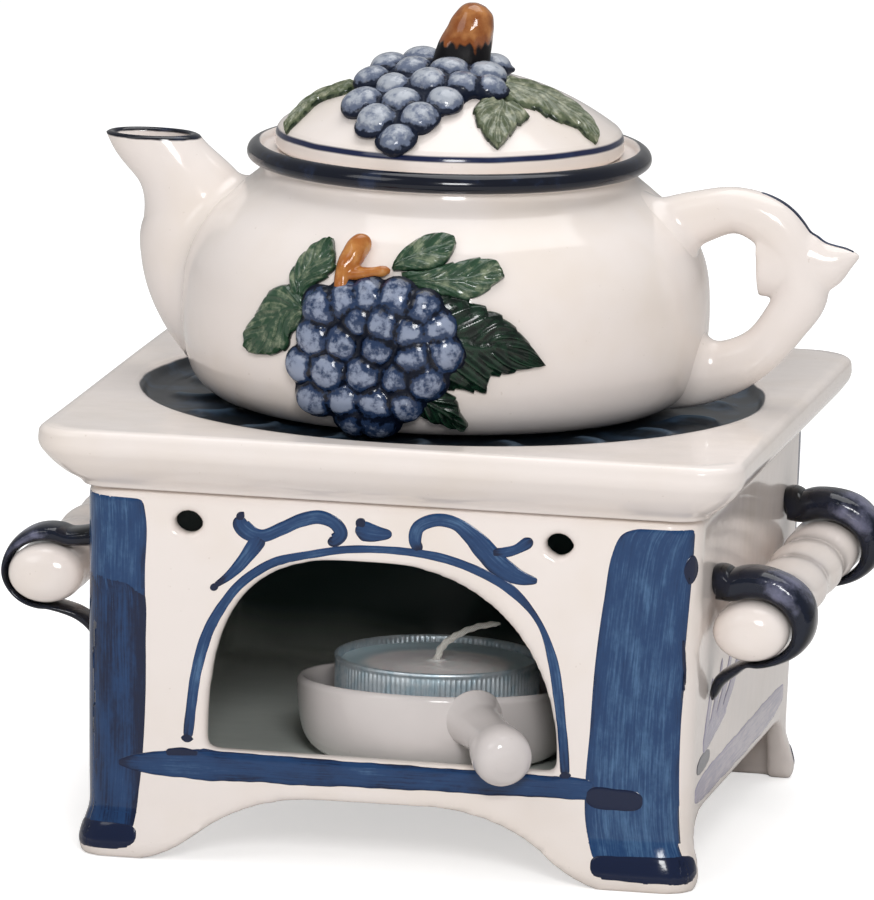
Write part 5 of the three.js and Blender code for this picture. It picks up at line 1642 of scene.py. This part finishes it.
# Rows are [round the wall from the middle of a side, height, half width, load]
ARCH_LINE = [
    # Line round the arch
    [[-36.7, 23.0, 0.8, 1.0], [-36.6, 24.4, 0.9, 0.8], [-36.1, 29.6, 0.95, 0.4],
     [-35.3, 35.8, 1.0, 0.3], [-33.2, 43.4, 1.0, 0.4], [-30.1, 49.0, 0.95, 0.45],
     [-27.1, 52.7, 0.9, 0.5], [-21.2, 56.8, 0.9, 0.5], [-13.8, 58.9, 0.75, 0.45],
     [-7.9, 60.1, 0.7, 0.4], [-0.5, 60.5, 0.7, 0.4], [6.0, 60.2, 0.75, 0.45],
     [11.1, 59.4, 0.8, 0.5], [17.0, 57.5, 0.85, 0.5], [23.0, 54.4, 0.9, 0.4],
     [28.0, 49.0, 0.55, 0.8], [30.8, 41.9, 0.9, 0.3], [32.5, 30.9, 1.0, 0.35],
     [33.5, 21.8, 0.9, 0.8], [33.6, 20.6, 0.8, 1.0]],
    # Round dots at the two ends of that line
    [[-36.8, 22.3, 1.15, 2.4], [-36.8, 23.0, 1.25, 2.4], [-36.7, 23.8, 1.1, 2.4]],
    [[33.7, 19.9, 1.0, 2.4], [33.6, 20.7, 1.15, 2.4], [33.5, 21.4, 1.0, 2.4]],
]
SCROLLS = [
    # Left scroll: curl, tail and the dark dots where the brush first touched
    [[-27.6, 65.2, 1.0, 1.0], [-27.5, 63.6, 1.5, 0.6], [-25.8, 62.1, 1.5, 0.4],
     [-23.4, 61.7, 1.2, 0.4], [-19.8, 63.3, 1.2, 0.35], [-16.4, 65.0, 1.25, 0.35],
     [-12.9, 65.8, 1.2, 0.4], [-9.9, 64.7, 1.2, 0.5], [-8.9, 62.9, 1.25, 0.5],
     [-10.4, 61.6, 1.2, 0.8], [-11.2, 62.0, 0.9, 1.2]],
    [[-23.6, 61.8, 1.5, 0.8], [-25.3, 59.2, 1.35, 0.4], [-27.7, 55.9, 1.1, 0.35],
     [-29.7, 53.8, 0.8, 0.6], [-32.2, 51.8, 0.5, 2.0]],
    [[-28.2, 65.6, 0.85, 2.4], [-27.6, 65.1, 1.05, 2.4], [-27.0, 64.7, 0.8, 2.4]],
    [[-33.0, 51.2, 0.5, 2.4], [-32.3, 51.6, 0.65, 2.4], [-31.6, 52.1, 0.5, 2.4]],
    # Bean between the scrolls
    [[-6.3, 63.9, 1.1, 1.0], [-5.0, 63.8, 1.75, 0.7], [-3.2, 63.5, 1.6, 0.4],
     [-1.2, 63.4, 1.2, 0.4], [0.6, 63.5, 0.75, 0.7]],
    [[-6.0, 65.8, 0.8, 2.4], [-5.3, 65.2, 1.0, 2.4], [-4.5, 64.6, 0.7, 2.4]],
    # Right scroll with its small leaf
    [[6.0, 60.6, 0.8, 1.6], [4.9, 62.4, 1.1, 0.5], [5.4, 65.0, 1.2, 0.35],
     [8.6, 66.6, 1.2, 0.35], [12.2, 66.2, 1.25, 0.35], [15.4, 64.0, 1.6, 0.4],
     [18.0, 61.4, 2.0, 0.4], [20.7, 58.8, 2.0, 0.45], [24.2, 57.0, 1.5, 0.5],
     [27.8, 56.4, 0.5, 0.8]],
    [[19.0, 61.2, 0.8, 1.6], [21.4, 61.4, 0.9, 0.5], [23.6, 62.1, 0.9, 0.4],
     [25.6, 63.4, 1.1, 0.6], [26.6, 64.1, 0.8, 1.0]],
    # Long stripe under the arch
    [[-50.3, 17.7, 0.3, 1.6], [-47.0, 17.9, 1.4, 0.9], [-43.5, 18.0, 2.1, 0.5],
     [-34.1, 18.3, 2.8, 0.5], [-25.0, 18.4, 2.75, 0.6], [-15.5, 18.3, 2.6, 0.6],
     [3.2, 18.4, 2.3, 0.6], [21.7, 18.4, 2.2, 0.6], [34.0, 18.4, 2.0, 0.5],
     [39.4, 18.3, 1.8, 0.5]],
]
FRONT_DABS = [
    # Dark start of the stripe, and the dab where it ends on the right post
    [[-40.8, 20.1, 0.7, 2.0], [-37.6, 20.4, 0.85, 2.2], [-34.6, 20.3, 0.5, 1.6]],
    [[37.4, 17.2, 1.8, 1.3], [40.8, 16.9, 2.1, 1.6], [44.6, 16.8, 2.1, 1.7],
     [48.2, 16.8, 1.9, 1.7]],
    # Drop of colour at the top of the right corner, and under it a thin dark line that is a painted
    # shadow of the bracket
    [[56.6, 62.6, 1.0, 2.4], [56.6, 60.0, 1.9, 2.4], [56.3, 57.2, 1.2, 2.4]],
    [[55.0, 47.0, 0.25, 2.0], [55.5, 42.0, 0.4, 2.0], [56.4, 37.4, 0.2, 2.0]],
]
# The side strokes are laid in a pale blue that stands for glare on the blue paint: painted glare
SIDE_STROKES = [
    # Stripe and a fan of thin leaves
    [[-49.0, 16.6, 1.2, 0.5], [-42.0, 16.8, 2.3, 0.4], [-24.0, 17.0, 2.6, 0.2],
     [6.0, 17.2, 2.8, 0.0], [30.0, 17.4, 2.7, 0.1], [46.0, 18.0, 1.6, 0.2]],
    [[-42.0, 24.6, 1.7, 0.6], [-36.0, 25.8, 2.4, 0.5], [-28.0, 26.8, 2.1, 0.3],
     [-18.0, 27.6, 1.1, 0.2]],
    [[-40.0, 26.0, 1.4, 0.5], [-36.4, 31.0, 1.8, 0.3], [-34.0, 36.0, 0.9, 0.2]],
    [[-34.6, 26.6, 1.4, 0.5], [-28.4, 32.0, 1.8, 0.3], [-24.6, 37.8, 0.9, 0.2]],
    [[-28.4, 27.0, 1.4, 0.5], [-20.0, 32.6, 1.8, 0.3], [-14.6, 38.4, 0.9, 0.2]],
    [[-22.0, 27.4, 1.4, 0.5], [-11.6, 32.2, 1.8, 0.3], [-5.0, 37.6, 0.9, 0.2]],
]
SIDE_DABS = [
    [[-47.6, 21.2, 0.8, 2.2], [-43.6, 21.5, 1.6, 2.2], [-38.4, 21.7, 1.6, 2.0],
     [-34.0, 21.8, 0.9, 1.6]],
]


# Broad bands at the corners: the two edges as [round the wall from the corner, height], and the
# loads at the top and the foot. RIGHT_POST stands at a side's right corner, the others at its left.
RIGHT_POST = ([[-10.4, 67.4], [-13.4, 66.0], [-15.2, 62], [-16.4, 54], [-17.4, 46], [-18.0, 39],
               [-18.5, 29], [-19.1, 20], [-19.0, 13], [-18.0, 8], [-17.0, 4.8]],
              [[1.6, 67.8], [1.5, 60], [1.0, 50], [0.4, 40], [-0.2, 32], [-0.3, 24], [0.0, 16],
               [0.6, 9], [1.2, 5.0]], (0.4, 0.2))
LEFT_POST = ([[-7.0, 68.1], [-7.0, 50], [-6.2, 30], [-4.8, 14], [-4.4, 4.6]],
             [[10.6, 67.5], [11.4, 62], [11.2, 54], [11.4, 46], [11.7, 32], [11.2, 20],
              [10.4, 10], [9.8, 4.8]], (0.3, 0.7))
LOWER_POST = ([[-6.8, 54.6], [-6.8, 40], [-5.6, 24], [-4.7, 12], [-4.3, 4.6]],
              [[9.6, 52.2], [11.2, 49.6], [11.6, 40], [11.7, 30], [11.2, 18], [10.2, 9],
               [9.7, 4.8]], (0.95, 0.7))
RIGHT_TOE = [[-17.2, 4.3, 1.7, 2.0], [-8, 4.3, 2.2, 2.0], [1, 4.4, 2.2, 2.0], [4.6, 4.5, 1.8, 2.0]]
LEFT_TOE = [[-4.6, 4.3, 1.8, 2.0], [0, 4.2, 2.2, 2.0], [6, 4.2, 2.2, 2.0], [10.2, 4.3, 1.8, 2.0]]


def shifted(rows, run):
    """Rows moved round the wall by a distance."""
    return [[run + row[0], *row[1:]] for row in rows]


def strokes_on(strokes, run, steps):
    """Strokes laid out on the wall as sheets, moved round it by a distance. Without a number of
    steps, a stroke has as many as its own rows ask for."""
    return [stroke_sheet(shifted(rows, run), steps or 40 + 12 * len(rows), on_wall)
            for rows in strokes]


def stove_paint(body):
    """All the blue painting: front scrolls and stripe with a painted shadow line, posts and toes at
    the corners, and side fans in pale painted glare.
    """
    front = strokes_on(ARCH_LINE + SCROLLS + FRONT_DABS, 0, None)
    painted("paint_front", front, body, lift=0.1)
    posts, toes = [], []
    for quarter in (0, 2):
        right = (quarter + 0.5) * WALL_RUN
        left = (quarter - 0.5) * WALL_RUN
        for corner, post in ((right, RIGHT_POST), (left, LEFT_POST), (left, LOWER_POST)):
            posts.append(band_sheet(shifted(post[0], corner), shifted(post[1], corner), post[2],
                                    130, on_wall))
        toes += strokes_on([RIGHT_TOE], right, 90) + strokes_on([LEFT_TOE], left, 90)
    painted("paint_posts", posts, body, lift=0.07)
    painted("paint_toes", toes, body, lift=0.15)
    pale, dark = [], []
    for quarter in (1, 3):
        pale += strokes_on(SIDE_STROKES, quarter * WALL_RUN, 100)
        dark += strokes_on(SIDE_DABS, quarter * WALL_RUN, 100)
    dark += strokes_on(SCROLLS, 2 * WALL_RUN, 100)
    # Sides in pale blue: painted glare
    painted("paint_sides_painted_glare", pale, body, lift=0.09, finish="painted_glare")
    painted("paint_sides_dark", dark, body, lift=0.1)


# The top of the thumb spur, [x from the pot's axis, height], and the line painted along it
SPUR_TOP = np.array([[55, 43.1], [61, 40.8], [65, 38.6], [70, 34.4], [74, 32.8], [77.4, 32.0]])
SPUR_LINE = [[58.5, 0.0, 0.45, 1.0], [64, 0.0, 0.8, 1.1], [70, 0.0, 0.8, 1.1], [76.6, 0.0, 0.5, 1.1]]


def on_spur(x, y):
    """Points over the top of the thumb spur."""
    height = POT_BASE + np.interp(x - POT_AXIS_X, SPUR_TOP[:, 0], SPUR_TOP[:, 1])
    return np.stack([x, y, height], -1)


def handle_paint(handle):
    """A navy line along the top of the handle's thumb spur."""
    line = stroke_sheet(shifted(SPUR_LINE, POT_AXIS_X), 90, on_spur)
    painted("paint_handle", [line], handle, lift=0.1, body="teapot")


# Stage

# The camera's place is in millimetres and its angles in radians. Each lamp has a name, a place and
# a side in metres, and its watts; the floor is in metres too.
CAMERA_TARGET = (-2.52, 0.0, 68.8)
CAMERA_YAW = 0.193923
CAMERA_PITCH = 0.182367
CAMERA_ROLL = 0.024997
CAMERA_DISTANCE = 2400.0
CAMERA_FOCAL_PIXELS = 12910.1
IMAGE_WIDTH, IMAGE_HEIGHT = 874, 900
LONG_SIDE = max(IMAGE_WIDTH, IMAGE_HEIGHT)
MIDDLE_COLUMN = 438.0
SENSOR = 36.0
SURROUND_LIGHT = 0.36
FLOOR_LIFT = 0.5
FLOOR_HALF = 6.0
LIGHTS_AIM = Vector((0, 0, 0.07))
LIGHTS = [("key", (0.3, -1.15, 0.62), 0.3, 6.6), ("fill", (-0.7, -0.9, 0.9), 0.6, 2.4),
          ("top", (0.1, 0.2, 1.3), 1.0, 8.2)]


def camera():
    """The camera behind the photograph's view: it looks back along its own yaw and pitch at the
    target, and rolls a little about its axis."""
    yaw, pitch = CAMERA_YAW, CAMERA_PITCH
    back = Vector((np.sin(yaw) * np.cos(pitch), -np.cos(yaw) * np.cos(pitch), np.sin(pitch)))
    right = (-back).cross(Vector(UP)).normalized()
    up = right.cross(-back).normalized()
    cosine, sine = np.cos(CAMERA_ROLL), np.sin(CAMERA_ROLL)
    x_axis = cosine * right + sine * up
    y_axis = -sine * right + cosine * up
    data = bpy.data.cameras.new("photo_camera")
    data.sensor_width = SENSOR
    data.lens = CAMERA_FOCAL_PIXELS * SENSOR / LONG_SIDE
    data.shift_x = (0.5 * IMAGE_WIDTH - MIDDLE_COLUMN) / LONG_SIDE
    data.clip_start, data.clip_end = 0.1, 20
    made = bpy.data.objects.new("photo_camera", data)
    bpy.context.scene.collection.objects.link(made)
    place = (Vector(CAMERA_TARGET) + back * CAMERA_DISTANCE) * MM
    made.matrix_world = Matrix((
        (x_axis[0], y_axis[0], back[0], place[0]),
        (x_axis[1], y_axis[1], back[1], place[1]),
        (x_axis[2], y_axis[2], back[2], place[2]),
        (0, 0, 0, 1)))
    bpy.context.scene.camera = made


def floor():
    """A plain pale floor, a little brighter to the camera than to the object."""
    low, high = -FLOOR_HALF, FLOOR_HALF
    mesh = bpy.data.meshes.new("floor")
    mesh.from_pydata([(low, low, 0), (high, low, 0), (high, high, 0), (low, high, 0)], [],
                     [(0, 1, 2, 3)])
    made = bpy.data.objects.new("floor", mesh)
    bpy.context.scene.collection.objects.link(made)
    material, tree, shader, place = new_material("floor_paper")
    paper = blend(tree, noise(tree, place, 0.01), srgb(246, 246, 246), srgb(250, 250, 250))
    seen = tree.nodes.new("ShaderNodeLightPath").outputs["Is Camera Ray"]
    colour_is(tree, shader, blend(tree, seen, srgb(228, 226, 224), paper))
    plain(shader, {"Roughness": 0.9, "Emission Color": WHITE_LIGHT})
    tree.links.new(product(tree, seen, FLOOR_LIFT), shader.inputs["Emission Strength"])
    made.data.materials.append(material)


def surround():
    """An even white surround, full bright to the camera and dimmer as light on the object."""
    world = bpy.data.worlds.new("surround")
    world.use_nodes = True
    tree = world.node_tree
    background = tree.nodes["Background"]
    seen = tree.nodes.new("ShaderNodeLightPath").outputs["Is Camera Ray"]
    strength = calc(tree, "MULTIPLY_ADD", seen, 1.0 - SURROUND_LIGHT, SURROUND_LIGHT)
    tree.links.new(strength, background.inputs["Strength"])
    background.inputs["Color"].default_value = WHITE_LIGHT
    bpy.context.scene.world = world
    bpy.context.scene.view_settings.view_transform = "Standard"


def lamps():
    """Three soft square lamps that face the middle of the object."""
    for name, place, size, power in LIGHTS:
        data = bpy.data.lights.new(name, "AREA")
        data.shape = "SQUARE"
        data.size = size
        data.energy = power
        made = bpy.data.objects.new(name, data)
        made.location = place
        made.rotation_mode = "QUATERNION"
        made.rotation_quaternion = (Vector(place) - LIGHTS_AIM).to_track_quat("Z", "Y")
        bpy.context.scene.collection.objects.link(made)


# Materials by the names that the pieces ask for

MATERIAL = {
    "stove": stove_material(),
    "slab": slab_material(),
    "cream": cream_material(),
    "navy": navy_material(),
    "pot": pot_material(),
    "spout": spout_material(),
    "lid": lid_material(),
    "dish": dish_material(),
    "foil": foil_material(),
    "wax": wax_material(),
    "cotton": cotton_material(),
    "paint": paint_material("blue_paint", srgb(8, 24, 56), srgb(24, 60, 104),
                            srgb(76, 112, 150)),
    # The blue paint washed pale: painted glare, used on the sides
    "painted_glare": paint_material("blue_paint_with_painted_glare", srgb(104, 102, 138), srgb(146, 140, 166),
                                 srgb(186, 178, 192)),
}

for finish, row in RELIEF_GLAZES.items():
    MATERIAL[finish] = relief_material(*row)


# The pieces. The two leaves low on the pot's right are solid green, the others are brushed

stove = stove_body()
slab()
for side_name, side in (("left", -1), ("right", 1)):
    rail(side_name, side)
    for end, end_name in ((-1, "front"), (1, "back")):
        scroll(side_name, side, end, end_name)
pot_body()
pot_spout()
handle = pot_handle()
lid()
bunch("pot_grapes", POT_BERRIES, on_pot,
      {"middle": [-4.2, 94.5], "half": [11, 11.5], "lean": 0.16}, "teapot", "grape",
      size=3.9, high=0.7)
bunch("lid_grapes", LID_BERRIES, on_lid,
      {"middle": [-2.2, -13], "half": [9.5, 13], "lean": 0.1}, "lid", "pale_grape",
      size=3.75, high=0.78)
for number, shape in enumerate(POT_LEAVES, 1):
    finish = "leaf" if number in (1, 6) else "brushed_leaf"
    leaf(f"pot_leaf_{number}", on_pot, "teapot", finish, **shape)
for number, shape in enumerate(LID_LEAVES, 1):
    leaf(f"lid_leaf_{number}", on_lid, "lid", "pale_leaf", **shape)
pot_twig()
lid_twig()
dish_bowl()
dish_handle()
tealight_cup()
tealight_wax()
tealight_wick()
stove_paint(stove)
handle_paint(handle)

# The wick's disc stays as it is in the model and takes the foil
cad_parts["wick_sustainer"].data.materials.clear()
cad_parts["wick_sustainer"].data.materials.append(MATERIAL["foil"])

camera()
floor()
surround()
lamps()
